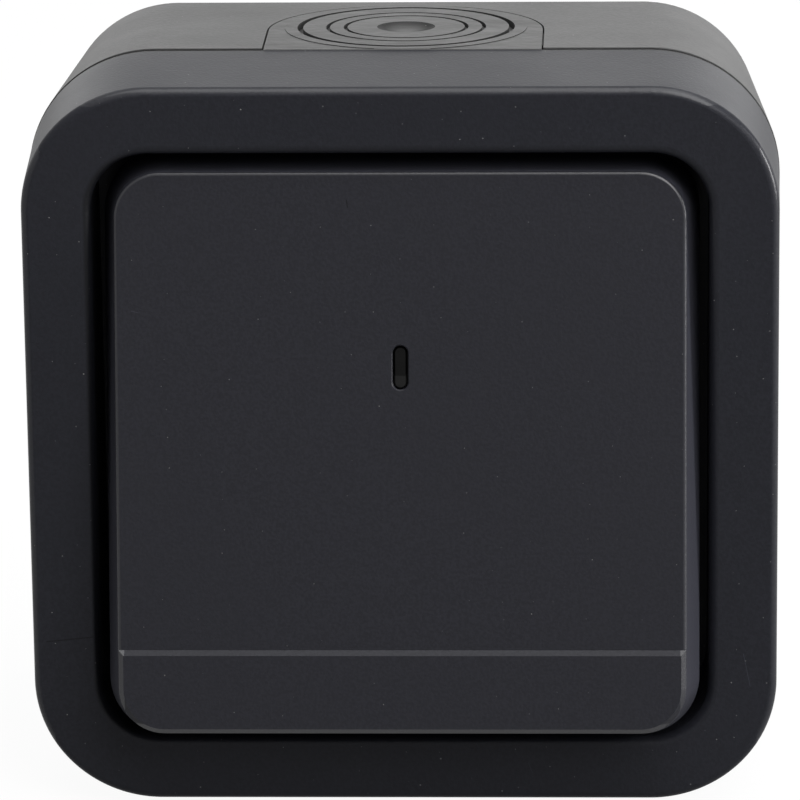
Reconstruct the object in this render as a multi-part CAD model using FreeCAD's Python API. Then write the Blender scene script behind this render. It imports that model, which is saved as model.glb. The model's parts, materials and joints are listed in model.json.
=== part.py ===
"""Surface-mounted weatherproof rocker switch.

Millimetres. The origin is the middle of the wall face: X to the right, Z up, and the front towards -Y.
"""

import FreeCAD
import Part
import math
import os

Vector = FreeCAD.Vector

# Back box
HEIGHT_DROP = 0.3
BOX_RIM_STEP = 0.07
BOX_TAPER = 2.0
BOX_FRONT_RADIUS = 13.2
BOX_REAR_RADIUS = 11.9
BOX_REAR_EDGE = 1.0
BOX_FRONT_EDGE = 0.3
BOX_WALL = 2.4
BOX_FLOOR = 2.4
REAR_RECESS = 1.0
REAR_RIM = 5.0
KNOCKOUT_RADIUS = 10.0
KNOCKOUT_WEB = 0.9
KNOCKOUT_GROOVE = 1.2

# Front cover
COVER_DEPTH = 14.4
COVER_TAPER = 0.28
COVER_FRONT_RADIUS = 12.85
COVER_PARTING_RADIUS = 13.1
COVER_FRONT_EDGE = 0.8
COVER_WALL = 2.2
RING_THICKNESS = 2.2
PARTING_GAP = 0.4
RING_WIDTH = 7.0
OPENING_RADIUS = 5.8
OPENING_EDGE = 1.0
WELL_WALL = 1.6
WELL_FLOOR = 1.4
SKIRT_PLAY = 0.5
SEAL_SPACE = 1.4
WELL_LEDGE = 8.0
WELL_WINDOW_PLAY = 2.5
WELL_WINDOW_RADIUS = 4.0
RIB_THICKNESS = 1.2
RIBS_PER_SIDE = 3
RIB_END_INSET = 7.0

# Gasket between box and cover
GASKET_WIDTH = 1.6
GASKET_HEIGHT = 2.0
GASKET_PLAY = 0.05
LEDGE_THICKNESS = 1.5
LEDGE_WIDTH = 2.0

# Cable entries
ENTRY_RADIUS = 14.3
ENTRY_FROM_PARTING = 10.4
ENTRY_PLAY = 0.08
ENTRY_GROOVE = 0.18
ENTRY_GROOVE_DEPTH = 0.6
ENTRY_WEB_START = 4.6
ENTRY_FLANGE_LAP = 1.5
ENTRY_FLANGE_THICKNESS = 1.3
ENTRY_WEB = 1.3
NOTCH_DEPTH = BOX_WALL + LEDGE_WIDTH + 0.3
DISC_FROM_PARTING = 11.9
DISC_INSET = 1.8
DISC_RISE = 0.06
POCKET_INSET = 1.3
GROOVES = ((1.57, 0.6, 0.7), (4.44, 0.4, 0.45), (6.25, 0.4, 0.45))
DIMPLE_RADIUS = 3.0
DIMPLE_DEPTH = 0.5

# Rocker
ROCKER_SIDE_GAP = 2.3
ROCKER_END_GAP = 2.425
ROCKER_RADIUS = 4.6
ROCKER_SKIRT_GROWTH = 1.4
ROCKER_FLARE_DEPTH = 7.0
ROCKER_DEPTH = 10.5
ROCKER_WALL = 1.8
ROCKER_EDGE = 0.45
PIVOT_BEHIND_FACE = 5.0
FACE_PROUD = 3.82
TILT = 9.5
STRIP_HEIGHT = 8.55
STRIP_RISE = 0.5
STRIP_ROOT = 0.8
SLOT_WIDTH = 1.55
SLOT_LENGTH = 4.5
SLOT_ABOVE_CENTRE = 8.78
SLOT_EDGE = 0.12
LENS_PLAY = 0.14
LENS_EDGE = 0.12
LENS_RECESS = 0.25
LENS_FLANGE = 0.8
LENS_FLANGE_LAP = 1.0
LENS_LENGTH = 7.4
LENS_WINDOW_PLAY = 1.5
CLIP_RADIUS = 1.5
CLIP_LENGTH = 2.9
CLIP_INSET = 3.0
ROCKER_RIB_SIDE_INSET = 6.2
ROCKER_RIB_END_INSET = 10.575
ROCKER_RIB_HEIGHT = 2.2

# Carrier, spring and plunger
PIN_RADIUS = 2.0
PIN_PLAY = 0.05
EAR_INSET = 2.2
EAR_THICKNESS = 2.6
EAR_RADIUS = 2.7
EAR_FOOT = 10.0
EAR_SIDE_PLAY = 0.2
CARRIER_SIDE_GAP = 2.0
CARRIER_END_INSET = 6.5
CARRIER_PLATE = 1.8
CROSSBAR_RADIUS = 3.0
TUBE_RADIUS = 4.0
TUBE_BORE = 2.7
TUBE_LENGTH = 9.0
PLUNGER_PLAY = 0.1
PLUNGER_TIP_RADIUS = 1.6
PLUNGER_TIP_GAP = 3.2
PLUNGER_HEAD_LENGTH = 5.0
SPRING_WIRE = 0.5
SPRING_TURNS = 5

# Switch mechanism
FRAME_THICKNESS = 1.2
FRAME_WALL_GAP = 2.95
FRAME_LAP = 0.3
FRAME_EAR_HEIGHT = 14.0
FRAME_RIM = 5.5
FRAME_SCREW_INSET = 4.0
MECHANISM_SIZE = 41.0
MECHANISM_RADIUS = 2.0
WIRING_GAP = 4.59
LID_THICKNESS = 2.0
LID_WINDOW_WIDTH = 8.0
LID_WINDOW_HEIGHT = 12.4
RIVET_INSET = 3.1
RIVET_RADIUS = 1.2
PIVOT_TO_CONTACT = 20.6
CONTACT_ABOVE_FLOOR = 7.0
CONTACT_TILT = 8.0
CONTACT_END_PLAY = 0.3
CONTACT_DISH = 1.0
CONTACT_DISH_HALF = 1.3
CONTACT_THICKNESS = 1.2
CONTACT_WIDTH = 6.0
CONTACT_STRIP = 0.8
BUTTON_RADIUS = 1.8
BUTTON_INSET = 1.9
BUTTON_HEIGHT = 1.0
FIXED_BUTTON_BEHIND = 2.0
CAVITY_SIDE_WALL = 7.5
CLAMP_SIDE_INSET = 4.0
CLAMP_WIDTH = 6.5
CLAMP_END_INSET = 1.3
CLAMP_LENGTH = 6.0
CLAMP_WALL = 1.6
CLAMP_BACK_WALL = 2.5
CAVITY_BACK_WALL = 2.5
CLAMP_DEPTH = 8.0
CLAMP_PLAY = 0.3
TERMINAL_SCREW_RADIUS = 1.4
TERMINAL_SCREW_LENGTH = 2.4
TERMINAL_HEAD_RADIUS = 2.4
TERMINAL_HEAD_HEIGHT = 1.2
CONTACT_LEDGE_LAP = 2.5
LEDGE_PLAY = 1.0
BLADE_HALF = 2.5
BLADE_THICKNESS = 1.0
BLADE_BEHIND_PIVOT = 0.8
WIRE_RADIUS = 1.6
TONGUE_HALF = 2.0
EARTH_INSET = 9.35
EARTH_Z = 13.5
EARTH_WIDTH = 7.0
EARTH_PAD_HEIGHT = 1.5
EARTH_BLOCK_DEPTH = 7.0
EARTH_WIRE_IN = 2.8

# Screws, posts and seals
SCREW_RADIUS = 1.5
SCREW_PLAY = 0.05
SCREW_HEAD_RADIUS = 2.7
DRIVER_SLOT = 0.6
FRAME_SCREW_HEAD = 1.1
FRAME_SCREW_LENGTH = 10.0
COVER_SCREW_HEAD = 0.9
COVER_SCREW_SEAT = 0.6
COVER_SCREW_LENGTH = 14.0
POST_RADIUS = 3.4
COVER_SCREW_INSET = 5.5
WALL_HOLE_X = 14.0
WALL_HOLE_INSET = 10.35
WALL_HOLE_RADIUS = 2.3
WALL_BOSS_RADIUS = 4.6
WALL_BOSS_HEIGHT = 2.0
SEAL_LIP = 2.0
SEAL_FLANGE_LAP = 2.0
SEAL_FLANGE_RADIUS = 9.0
SEAL_RISE = 1.8
LAMP_RADIUS = 1.9
LAMP_LENGTH = 4.6
LAMP_BELOW_LENS = 0.48
LAMP_SOCKET_HALF = 3.0
LAMP_SOCKET_DEPTH = 2.4

# Places that follow on the cable entry
DISC_RADIUS = ENTRY_RADIUS - DISC_INSET
POCKET_RADIUS = DISC_RADIUS - POCKET_INSET

# Places that follow across the front, from the mechanism out to the box
WELL_WINDOW = MECHANISM_SIZE + 2 * WELL_WINDOW_PLAY
OPENING_SIZE = WELL_WINDOW + 2 * WELL_LEDGE
COVER_FRONT_SIZE = OPENING_SIZE + 2 * RING_WIDTH
COVER_PARTING_SIZE = COVER_FRONT_SIZE + 2 * COVER_TAPER
BOX_FRONT_SIZE = COVER_PARTING_SIZE + 2 * BOX_RIM_STEP
BOX_REAR_SIZE = BOX_FRONT_SIZE - 2 * BOX_TAPER
ROCKER_WIDTH = OPENING_SIZE - 2 * ROCKER_SIDE_GAP
ROCKER_HEIGHT = OPENING_SIZE - 2 * ROCKER_END_GAP
ROCKER_RIB_X = ROCKER_WIDTH / 2 - ROCKER_RIB_SIDE_INSET
ROCKER_RIB_Z = ROCKER_HEIGHT / 2 - ROCKER_RIB_END_INSET
EAR_X = MECHANISM_SIZE / 2 - EAR_INSET
CARRIER_WIDTH = 2 * (EAR_X - EAR_THICKNESS / 2 - CARRIER_SIDE_GAP)
CARRIER_HEIGHT = MECHANISM_SIZE - 2 * CARRIER_END_INSET
CLIP_X = CARRIER_WIDTH / 2 - CLIP_INSET
CLIP_Z = CARRIER_HEIGHT / 2 - CLIP_INSET
FRAME_WIDTH = BOX_FRONT_SIZE - 2 * (BOX_WALL + FRAME_WALL_GAP)
FRAME_HEIGHT = MECHANISM_SIZE + 2 * FRAME_LAP
FRAME_WINDOW = MECHANISM_SIZE - 2 * FRAME_RIM
FRAME_SCREW_X = FRAME_WIDTH / 2 - FRAME_SCREW_INSET
RIVET_POSITION = MECHANISM_SIZE / 2 - RIVET_INSET
CLAMP_INNER_Z = MECHANISM_SIZE / 2 - CLAMP_END_INSET - CLAMP_LENGTH
CAVITY_WIDTH = MECHANISM_SIZE - 2 * CAVITY_SIDE_WALL
CAVITY_HEIGHT = 2 * (CLAMP_INNER_Z - CLAMP_WALL)
CLAMP_X = CAVITY_WIDTH / 2 - CLAMP_SIDE_INSET
CONTACT_ARM = CAVITY_HEIGHT / 2 - CONTACT_END_PLAY
BUTTON_AT = CONTACT_ARM - BUTTON_INSET
LEDGE_INNER_Z = BUTTON_AT - CONTACT_LEDGE_LAP
COVER_SCREW_AT = OPENING_SIZE / 2 - COVER_SCREW_INSET
WALL_HOLE_Z = BOX_REAR_SIZE / 2 - WALL_HOLE_INSET
EARTH_X = BOX_REAR_SIZE / 2 - EARTH_INSET
LAMP_Z = SLOT_ABOVE_CENTRE - LAMP_BELOW_LENS

# Levels that follow from the wall forwards, through the mechanism to the rocker
FLOOR_Y = -(REAR_RECESS + BOX_FLOOR)
MECHANISM_REAR_Y = FLOOR_Y - WIRING_GAP
CLAMP_REAR_Y = MECHANISM_REAR_Y - CLAMP_BACK_WALL
CAVITY_FLOOR_Y = CLAMP_REAR_Y - CAVITY_BACK_WALL
CONTACT_PIVOT_Y = CAVITY_FLOOR_Y - CONTACT_ABOVE_FLOOR
FIXED_BUTTON_Y = CONTACT_PIVOT_Y + FIXED_BUTTON_BEHIND
PIVOT_Y = CONTACT_PIVOT_Y - PIVOT_TO_CONTACT
FACE_Y = PIVOT_Y - PIVOT_BEHIND_FACE
FRONT_Y = PIVOT_Y - PIVOT_BEHIND_FACE * math.cos(math.radians(TILT)) + FACE_PROUD
PARTING_Y = FRONT_Y + COVER_DEPTH
BOX_DEPTH = -PARTING_Y
LEDGE_Y = PARTING_Y + GASKET_HEIGHT - 0.1
SKIRT_REACH = (ROCKER_DEPTH - PIVOT_BEHIND_FACE) * math.cos(math.radians(TILT))
SKIRT_SWING = (ROCKER_HEIGHT / 2 + ROCKER_SKIRT_GROWTH) * math.sin(math.radians(TILT))
WELL_FLOOR_Y = PIVOT_Y + SKIRT_REACH + SKIRT_SWING + SKIRT_PLAY
WELL_REAR_Y = WELL_FLOOR_Y + WELL_FLOOR
PLATE_FRONT_Y = WELL_REAR_Y + SEAL_SPACE
PLATE_REAR_Y = PLATE_FRONT_Y + FRAME_THICKNESS
LID_FRONT_Y = PLATE_FRONT_Y - LID_THICKNESS
POST_FRONT_Y = PLATE_REAR_Y + 0.2
PLUNGER_TIP_DISTANCE = PIVOT_TO_CONTACT - PLUNGER_TIP_GAP


def box(x0, x1, y0, y1, z0, z1):
    """Block between two corners."""
    return Part.makeBox(x1 - x0, y1 - y0, z1 - z0, Vector(x0, y0, z0))


def rod_y(x, z, radius, y0, y1):
    """Cylinder along Y."""
    return Part.makeCylinder(radius, y1 - y0, Vector(x, y0, z), Vector(0, 1, 0))


def rod_x(y, z, radius, x0, x1):
    """Cylinder along X."""
    return Part.makeCylinder(radius, x1 - x0, Vector(x0, y, z), Vector(1, 0, 0))


def rod_z(x, y, radius, z0, z1):
    """Cylinder along Z."""
    return Part.makeCylinder(radius, z1 - z0, Vector(x, y, z0), Vector(0, 0, 1))


def fused(shapes):
    """One solid from touching shapes."""
    return shapes[0].multiFuse(shapes[1:]).removeSplitter()


def rounded_wire(width, height, radius, y, z=0.0):
    """Rounded rectangle in the plane at y, centred on x = 0 and the given z."""
    w, h = width / 2, height / 2
    k = radius * math.sqrt(0.5)
    edges = []
    corners = ((1, 1), (-1, 1), (-1, -1), (1, -1))
    for i, (sx, sz) in enumerate(corners):
        cx, cz = sx * (w - radius), z + sz * (h - radius)
        turn = sx * sz > 0
        first = Vector(cx + (sx * radius if turn else 0), y, cz + (0 if turn else sz * radius))
        last = Vector(cx + (0 if turn else sx * radius), y, cz + (sz * radius if turn else 0))
        edges.append(Part.Arc(first, Vector(cx + sx * k, y, cz + sz * k), last).toShape())
        nx, nz = corners[(i + 1) % 4]
        ncx, ncz = nx * (w - radius), z + nz * (h - radius)
        turn = nx * nz > 0
        start = Vector(ncx + (nx * radius if turn else 0), y, ncz + (0 if turn else nz * radius))
        edges.append(Part.LineSegment(last, start).toShape())
    return Part.Wire(edges)


def rounded_block(width, height, radius, y0, y1, z=0.0):
    """Straight block with a rounded rectangle for its section."""
    face = Part.Face(rounded_wire(width, height, radius, y0, z))
    return face.extrude(Vector(0, y1 - y0, 0))


def rounded_taper(first, last):
    """Tapered block between two rounded rectangles, each given as width, height, radius and y."""
    return Part.makeLoft([rounded_wire(*first), rounded_wire(*last)], True, True)


def edges_at(shape, y, smallest_reach=0.0):
    """Edges of a shape that lie in the plane at y, further out than a reach from the axis."""
    found = []
    for edge in shape.Edges:
        points = edge.discretize(5)
        flat = all(abs(p.y - y) < 1e-4 for p in points)
        if flat and all(max(abs(p.x), abs(p.z)) > smallest_reach for p in points):
            found.append(edge)
    return found


def box_section(y, offset=0.0):
    """Width, height and radius of the box at y, less an offset all round."""
    share = -y / BOX_DEPTH
    size = BOX_REAR_SIZE + share * (BOX_FRONT_SIZE - BOX_REAR_SIZE) - 2 * offset
    radius = BOX_REAR_RADIUS + share * (BOX_FRONT_RADIUS - BOX_REAR_RADIUS) - offset
    return size, size - HEIGHT_DROP, max(radius, 1.0)


def box_taper(y0, y1, offset=0.0):
    """Tapered block that follows the box's walls between two levels."""
    return rounded_taper((*box_section(y0, offset), y0), (*box_section(y1, offset), y1))


def cover_section(y, offset=0.0):
    """Width, height and radius of the cover at y, less an offset all round."""
    share = (y - FRONT_Y) / COVER_DEPTH
    size = COVER_FRONT_SIZE + share * (COVER_PARTING_SIZE - COVER_FRONT_SIZE) - 2 * offset
    radius = COVER_FRONT_RADIUS + share * (COVER_PARTING_RADIUS - COVER_FRONT_RADIUS) - offset
    return size, size - HEIGHT_DROP, max(radius, 1.0)


def cover_taper(y0, y1, offset=0.0):
    """Tapered block that follows the cover's walls between two levels."""
    return rounded_taper((*cover_section(y0, offset), y0), (*cover_section(y1, offset), y1))


def four(x, z):
    """The four mirrored places of a point on the face."""
    return [(sx * x, sz * z) for sx in (-1, 1) for sz in (-1, 1)]


def tilted(shape):
    """Turns a piece of the rocker from the middle of its travel to its rest pose, top in."""
    turned = shape.copy()
    turned.rotate(Vector(0, PIVOT_Y, 0), Vector(1, 0, 0), -TILT)
    return turned


def flipped(shape):
    """The same piece on the underside of the box."""
    return shape.mirror(Vector(0, 0, 0), Vector(0, 0, 1))


def box_shell(front, front_edge):
    """Open tapered box with its gasket ledge, before any opening is cut."""
    outer = box_taper(front, 0.0)
    outer = outer.makeFillet(BOX_REAR_EDGE, edges_at(outer, 0.0))
    if front_edge:
        outer = outer.makeFillet(front_edge, edges_at(outer, front))
    cavity = box_taper(PARTING_Y - 1, FLOOR_Y, BOX_WALL)
    ledge = box_taper(LEDGE_Y, LEDGE_Y + LEDGE_THICKNESS, BOX_WALL / 2)
    ledge = ledge.cut(box_taper(LEDGE_Y - 1, LEDGE_Y + LEDGE_THICKNESS + 1, BOX_WALL + LEDGE_WIDTH))
    return fused([outer.cut(cavity), ledge])


def wall_slope():
    """Slope of the box's top wall, in degrees."""
    return math.degrees(math.atan((BOX_FRONT_SIZE - BOX_REAR_SIZE) / 2 / BOX_DEPTH))


def on_top_wall(shape):
    """Puts a shape, drawn with z = 0 as the wall's outer plane and y from the parting line, on the box."""
    placed = shape.copy()
    placed.rotate(Vector(0, 0, 0), Vector(1, 0, 0), -wall_slope())
    placed.translate(Vector(0, PARTING_Y, (BOX_FRONT_SIZE - HEIGHT_DROP) / 2))
    return placed


def entry_prism(radius, z0, z1, front=-2.0):
    """Outline of a cable entry, open towards the cover, between two depths."""
    centre = ENTRY_FROM_PARTING
    left, right = Vector(-radius, centre, z0), Vector(radius, centre, z0)
    top = Vector(0, centre + radius, z0)
    corners = [Vector(radius, front, z0), Vector(-radius, front, z0)]
    edges = [
        Part.Arc(left, top, right).toShape(),
        Part.LineSegment(right, corners[0]).toShape(),
        Part.LineSegment(corners[0], corners[1]).toShape(),
        Part.LineSegment(corners[1], left).toShape(),
    ]
    return Part.Face(Part.Wire(edges)).extrude(Vector(0, 0, z1 - z0))


def dish(radius, depth):
    """Ball that presses a shallow dish into the disc's face."""
    ball = (radius ** 2 + depth ** 2) / (2 * depth)
    return Part.makeSphere(ball, Vector(0, DISC_FROM_PARTING, DISC_RISE - depth + ball))


def entry_membrane():
    """Soft plug with thin stepped rings to cut or push through for the cable."""
    front = PARTING_Y - PARTING_GAP + ENTRY_PLAY
    shell = box_shell(front, 0.0)
    neck = shell.common(on_top_wall(entry_prism(ENTRY_RADIUS - ENTRY_GROOVE, -NOTCH_DEPTH, 2.0)))
    top = -BOX_WALL - ENTRY_PLAY
    bottom = top - ENTRY_FLANGE_THICKNESS
    lap = entry_prism(ENTRY_RADIUS + ENTRY_FLANGE_LAP, bottom, top, ENTRY_WEB_START)
    web = entry_prism(ENTRY_RADIUS - ENTRY_PLAY, bottom, -ENTRY_GROOVE_DEPTH, ENTRY_WEB_START)
    disc = rod_z(0, DISC_FROM_PARTING, DISC_RADIUS, -ENTRY_GROOVE_DEPTH, DISC_RISE)
    reach = BOX_FRONT_SIZE
    inside = box(-reach, reach, 2 * PARTING_Y, FLOOR_Y - ENTRY_PLAY, 0, reach)
    behind_cover = box(-reach, reach, front, 0, 0, reach)
    lap = on_top_wall(lap).common(inside)
    web = on_top_wall(web).common(inside)
    plug = fused([neck, lap, web, on_top_wall(disc).common(behind_cover)])
    pocket = rod_z(0, DISC_FROM_PARTING - ENTRY_PLAY, POCKET_RADIUS, -reach, DISC_RISE - ENTRY_WEB)
    cuts = [pocket, dish(DIMPLE_RADIUS, DIMPLE_DEPTH)]
    for inset, width, depth in GROOVES:
        radius = DISC_RADIUS - inset
        tool = rod_z(0, DISC_FROM_PARTING, radius + width / 2, DISC_RISE - depth, 1)
        cuts.append(tool.cut(rod_z(0, DISC_FROM_PARTING, radius - width / 2, -1, 2)))
    for cut in cuts:
        plug = plug.cut(on_top_wall(cut))
    return plug


def rear_box():
    """Box with its posts, wall bosses, cable entries and rear recess."""
    entry = on_top_wall(entry_prism(ENTRY_RADIUS, -NOTCH_DEPTH, 3.0))
    body = box_shell(PARTING_Y, BOX_FRONT_EDGE).cut(entry).cut(flipped(entry))
    recess = box_taper(-REAR_RECESS, 1.0, REAR_RIM)
    pads = [rod_y(x, z, WALL_BOSS_RADIUS, -REAR_RECESS, 0) for x, z in four(WALL_HOLE_X, WALL_HOLE_Z)]
    for pad in pads:
        recess = recess.cut(pad)
    body = body.cut(recess)
    bosses = [
        rod_y(x, z, WALL_BOSS_RADIUS, FLOOR_Y - WALL_BOSS_HEIGHT, FLOOR_Y + 0.5)
        for x, z in four(WALL_HOLE_X, WALL_HOLE_Z)
    ]
    posts = [
        rod_y(x, z, POST_RADIUS, POST_FRONT_Y, FLOOR_Y + 0.5)
        for x, z in four(COVER_SCREW_AT, COVER_SCREW_AT)
    ]
    posts += [rod_y(x, 0, POST_RADIUS, PLATE_REAR_Y, FLOOR_Y + 0.5) for x in (-FRAME_SCREW_X, FRAME_SCREW_X)]
    reach = EARTH_WIDTH / 2 + 1
    pad = box(
        EARTH_X - reach, EARTH_X + reach, FLOOR_Y - EARTH_PAD_HEIGHT, FLOOR_Y + 0.5,
        EARTH_Z - reach, EARTH_Z + reach,
    )
    body = fused([body, *bosses, *posts, pad])
    for x, z in four(WALL_HOLE_X, WALL_HOLE_Z):
        body = body.cut(rod_y(x, z, WALL_HOLE_RADIUS, FLOOR_Y - WALL_BOSS_HEIGHT - 1, 1))
    for x, z in four(COVER_SCREW_AT, COVER_SCREW_AT):
        body = body.cut(rod_y(x, z, SCREW_RADIUS + SCREW_PLAY, POST_FRONT_Y - 1, POST_FRONT_Y + COVER_SCREW_LENGTH))
    for x in (-FRAME_SCREW_X, FRAME_SCREW_X):
        body = body.cut(rod_y(x, 0, SCREW_RADIUS + SCREW_PLAY, PLATE_REAR_Y - 1, PLATE_REAR_Y + FRAME_SCREW_LENGTH + 2))
    groove = rod_y(0, 0, KNOCKOUT_RADIUS, FLOOR_Y - 1, FLOOR_Y + BOX_FLOOR - KNOCKOUT_WEB)
    groove = groove.cut(rod_y(0, 0, KNOCKOUT_RADIUS - KNOCKOUT_GROOVE, FLOOR_Y - 2, 0))
    return body.cut(groove)


def box_gasket():
    """Soft cord that lies on the box's ledge and is pressed by the cover."""
    front = LEDGE_Y - GASKET_HEIGHT
    outer = box_taper(front, LEDGE_Y, BOX_WALL + GASKET_PLAY)
    return outer.cut(box_taper(front - 1, LEDGE_Y + 1, BOX_WALL + GASKET_PLAY + GASKET_WIDTH))


def well_solid(grow, y0, y1):
    """Block with the opening's outline, grown all round."""
    size = OPENING_SIZE + 2 * grow
    return rounded_block(size, size, OPENING_RADIUS + grow, y0, y1)


def front_cover():
    """Frame with a flat ring face and a deep well that the rocker moves in."""
    rear = PARTING_Y - PARTING_GAP
    outer = cover_taper(FRONT_Y, rear)
    outer = outer.makeFillet(COVER_FRONT_EDGE, edges_at(outer, FRONT_Y))
    shell = outer.cut(cover_taper(FRONT_Y + RING_THICKNESS, rear + 1, COVER_WALL))
    well = well_solid(WELL_WALL, FRONT_Y + RING_THICKNESS / 2, WELL_REAR_Y)
    tongue_rear = LEDGE_Y - GASKET_HEIGHT
    tongue = cover_taper(tongue_rear - 3.5, tongue_rear, COVER_WALL / 2)
    tongue = tongue.cut(cover_taper(tongue_rear - 5, tongue_rear + 1, BOX_WALL + GASKET_WIDTH))
    tongue = tongue.cut(cover_ring_beyond(tongue_rear))
    pieces = [shell, well, tongue]
    pieces += [
        rod_y(x, z, POST_RADIUS, WELL_REAR_Y - 0.5, POST_FRONT_Y)
        for x, z in four(COVER_SCREW_AT, COVER_SCREW_AT)
    ]
    pieces += cover_ribs()
    body = fused(pieces)
    opening = well_solid(0.0, FRONT_Y - 1, WELL_FLOOR_Y)
    window = rounded_block(WELL_WINDOW, WELL_WINDOW, WELL_WINDOW_RADIUS, WELL_FLOOR_Y - 1, WELL_REAR_Y + 1)
    body = body.cut(opening).cut(window)
    for x, z in four(COVER_SCREW_AT, COVER_SCREW_AT):
        body = body.cut(rod_y(x, z, SCREW_RADIUS + 0.2, WELL_FLOOR_Y - 1, POST_FRONT_Y + 1))
        body = body.cut(rod_y(x, z, POST_RADIUS - 0.5, WELL_FLOOR_Y - 0.1, WELL_FLOOR_Y + COVER_SCREW_SEAT))
    inner = [e for e in edges_at(body, FRONT_Y) if max_reach(e) < OPENING_SIZE / 2 + 0.1]
    return body.makeFillet(OPENING_EDGE, inner)


def max_reach(edge):
    """How far an edge reaches from the axis along X or Z."""
    return max(max(abs(p.x), abs(p.z)) for p in edge.discretize(5))


def cover_ring_beyond(y):
    """The band outside the cover's wall foot, which keeps the tongue inside the box's rim."""
    return cover_taper(PARTING_Y - PARTING_GAP, y + 1, 0.0).cut(
        cover_taper(PARTING_Y - PARTING_GAP - 1, y + 2, BOX_WALL + 0.1)
    )


def cover_ribs():
    """Stiffening ribs between the cover's outer wall and its well."""
    inner = OPENING_SIZE / 2 + WELL_WALL / 2
    outer = COVER_FRONT_SIZE / 2 - COVER_WALL / 2
    front, rear = FRONT_Y + RING_THICKNESS / 2, FRONT_Y + COVER_DEPTH / 2
    ribs = []
    for i in range(RIBS_PER_SIDE):
        at = (i - (RIBS_PER_SIDE - 1) / 2) * (WELL_WINDOW - 2 * RIB_END_INSET) / (RIBS_PER_SIDE - 1)
        low, high = at - RIB_THICKNESS / 2, at + RIB_THICKNESS / 2
        for near, far in ((inner, outer), (-outer, -inner)):
            ribs.append(box(near, far, front, rear, low, high))
            ribs.append(box(low, high, front, rear, near, far))
    return ribs


def rocker_section(depth, offset=0.0):
    """Width, height, radius and y of the rocker at a depth behind its face, less an offset."""
    grow = ROCKER_SKIRT_GROWTH * min(depth / ROCKER_FLARE_DEPTH, 1.0)
    width = ROCKER_WIDTH + 2 * grow - 2 * offset
    height = ROCKER_HEIGHT + 2 * grow - 2 * offset
    return width, height, max(ROCKER_RADIUS + grow - offset, 0.8), FACE_Y + depth


def rocker_block(front, rear, offset=0.0):
    """Flared block of the rocker between two depths."""
    flare = rounded_taper(rocker_section(front, offset), rocker_section(ROCKER_FLARE_DEPTH, offset))
    skirt = rounded_taper(rocker_section(ROCKER_FLARE_DEPTH, offset), rocker_section(rear, offset))
    return fused([flare, skirt])


def stadium(width, length, z, y0, y1):
    """Upright slot shape with round ends."""
    r = width / 2
    reach = length / 2 - r
    return fused([
        rod_y(0, z - reach, r, y0, y1),
        rod_y(0, z + reach, r, y0, y1),
        box(-r, r, y0, y1, z - reach, z + reach),
    ])


def strip_outline(width, height, radius, y, top):
    """Outline of the rocker's lower end up to a level, with its two round corners."""
    w, low = width / 2, -height / 2
    k = radius * (1 - math.sqrt(0.5))
    left, right = Vector(-w, y, low + radius), Vector(w, y, low + radius)
    foot_left, foot_right = Vector(-w + radius, y, low), Vector(w - radius, y, low)
    return Part.Wire([
        Part.LineSegment(Vector(-w, y, top), left).toShape(),
        Part.Arc(left, Vector(-w + k, y, low + k), foot_left).toShape(),
        Part.LineSegment(foot_left, foot_right).toShape(),
        Part.Arc(foot_right, Vector(w - k, y, low + k), right).toShape(),
        Part.LineSegment(right, Vector(w, y, top)).toShape(),
        Part.LineSegment(Vector(w, y, top), Vector(-w, y, top)).toShape(),
    ])


def rocker_strip():
    """Raised strip along the rocker's bottom edge, bevelled on all four sides."""
    top = -ROCKER_HEIGHT / 2 + STRIP_HEIGHT
    width, height, radius, y = rocker_section(0)
    deep_width, deep_height, deep_radius, deep_y = rocker_section(STRIP_ROOT)
    root = strip_outline(deep_width, deep_height, deep_radius, deep_y, top)
    edge = strip_outline(width, height, radius, y, top)
    rise = STRIP_RISE
    crown = strip_outline(width - 2 * rise, height - 2 * rise, radius - rise, y - rise, top - rise)
    return fused([Part.makeLoft([root, edge], True, True), Part.makeLoft([edge, crown], True, True)])


def rocker():
    """Large rocker with a raised strip along its bottom edge and a slot for the light guide."""
    body = rocker_block(0, ROCKER_DEPTH)
    body = body.makeFillet(ROCKER_EDGE, [e for e in edges_at(body, FACE_Y) if on_rim(e)])
    body = body.cut(rocker_block(ROCKER_WALL, ROCKER_DEPTH + 1, ROCKER_WALL))
    inner = FACE_Y + ROCKER_WALL
    pieces = [body, rocker_strip()]
    pieces += [rod_y(x, z, CLIP_RADIUS, inner - 0.5, inner + CLIP_LENGTH) for x, z in four(CLIP_X, CLIP_Z)]
    side = ROCKER_WIDTH / 2 - ROCKER_WALL / 2
    rib = RIB_THICKNESS / 2
    for s in (-1, 1):
        x, z = s * ROCKER_RIB_X, s * ROCKER_RIB_Z
        pieces.append(box(x - rib, x + rib, inner - 0.5, inner + ROCKER_RIB_HEIGHT, -side, side))
        pieces.append(box(-side, side, inner - 0.5, inner + ROCKER_RIB_HEIGHT, z - rib, z + rib))
    body = fused(pieces)
    body = body.cut(stadium(SLOT_WIDTH, SLOT_LENGTH, SLOT_ABOVE_CENTRE, FACE_Y - 2, inner + 2))
    mouth = [e for e in edges_at(body, FACE_Y) if max_reach(e) < SLOT_ABOVE_CENTRE + SLOT_LENGTH]
    return tilted(body.makeChamfer(SLOT_EDGE, mouth))


def on_rim(edge):
    """Whether an edge lies on the face's outer outline."""
    w, h = ROCKER_WIDTH / 2 - ROCKER_RADIUS, ROCKER_HEIGHT / 2 - ROCKER_RADIUS
    points = edge.discretize(5)
    return all(math.hypot(max(abs(p.x) - w, 0), max(abs(p.z) - h, 0)) > ROCKER_RADIUS - 0.2 for p in points)


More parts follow.
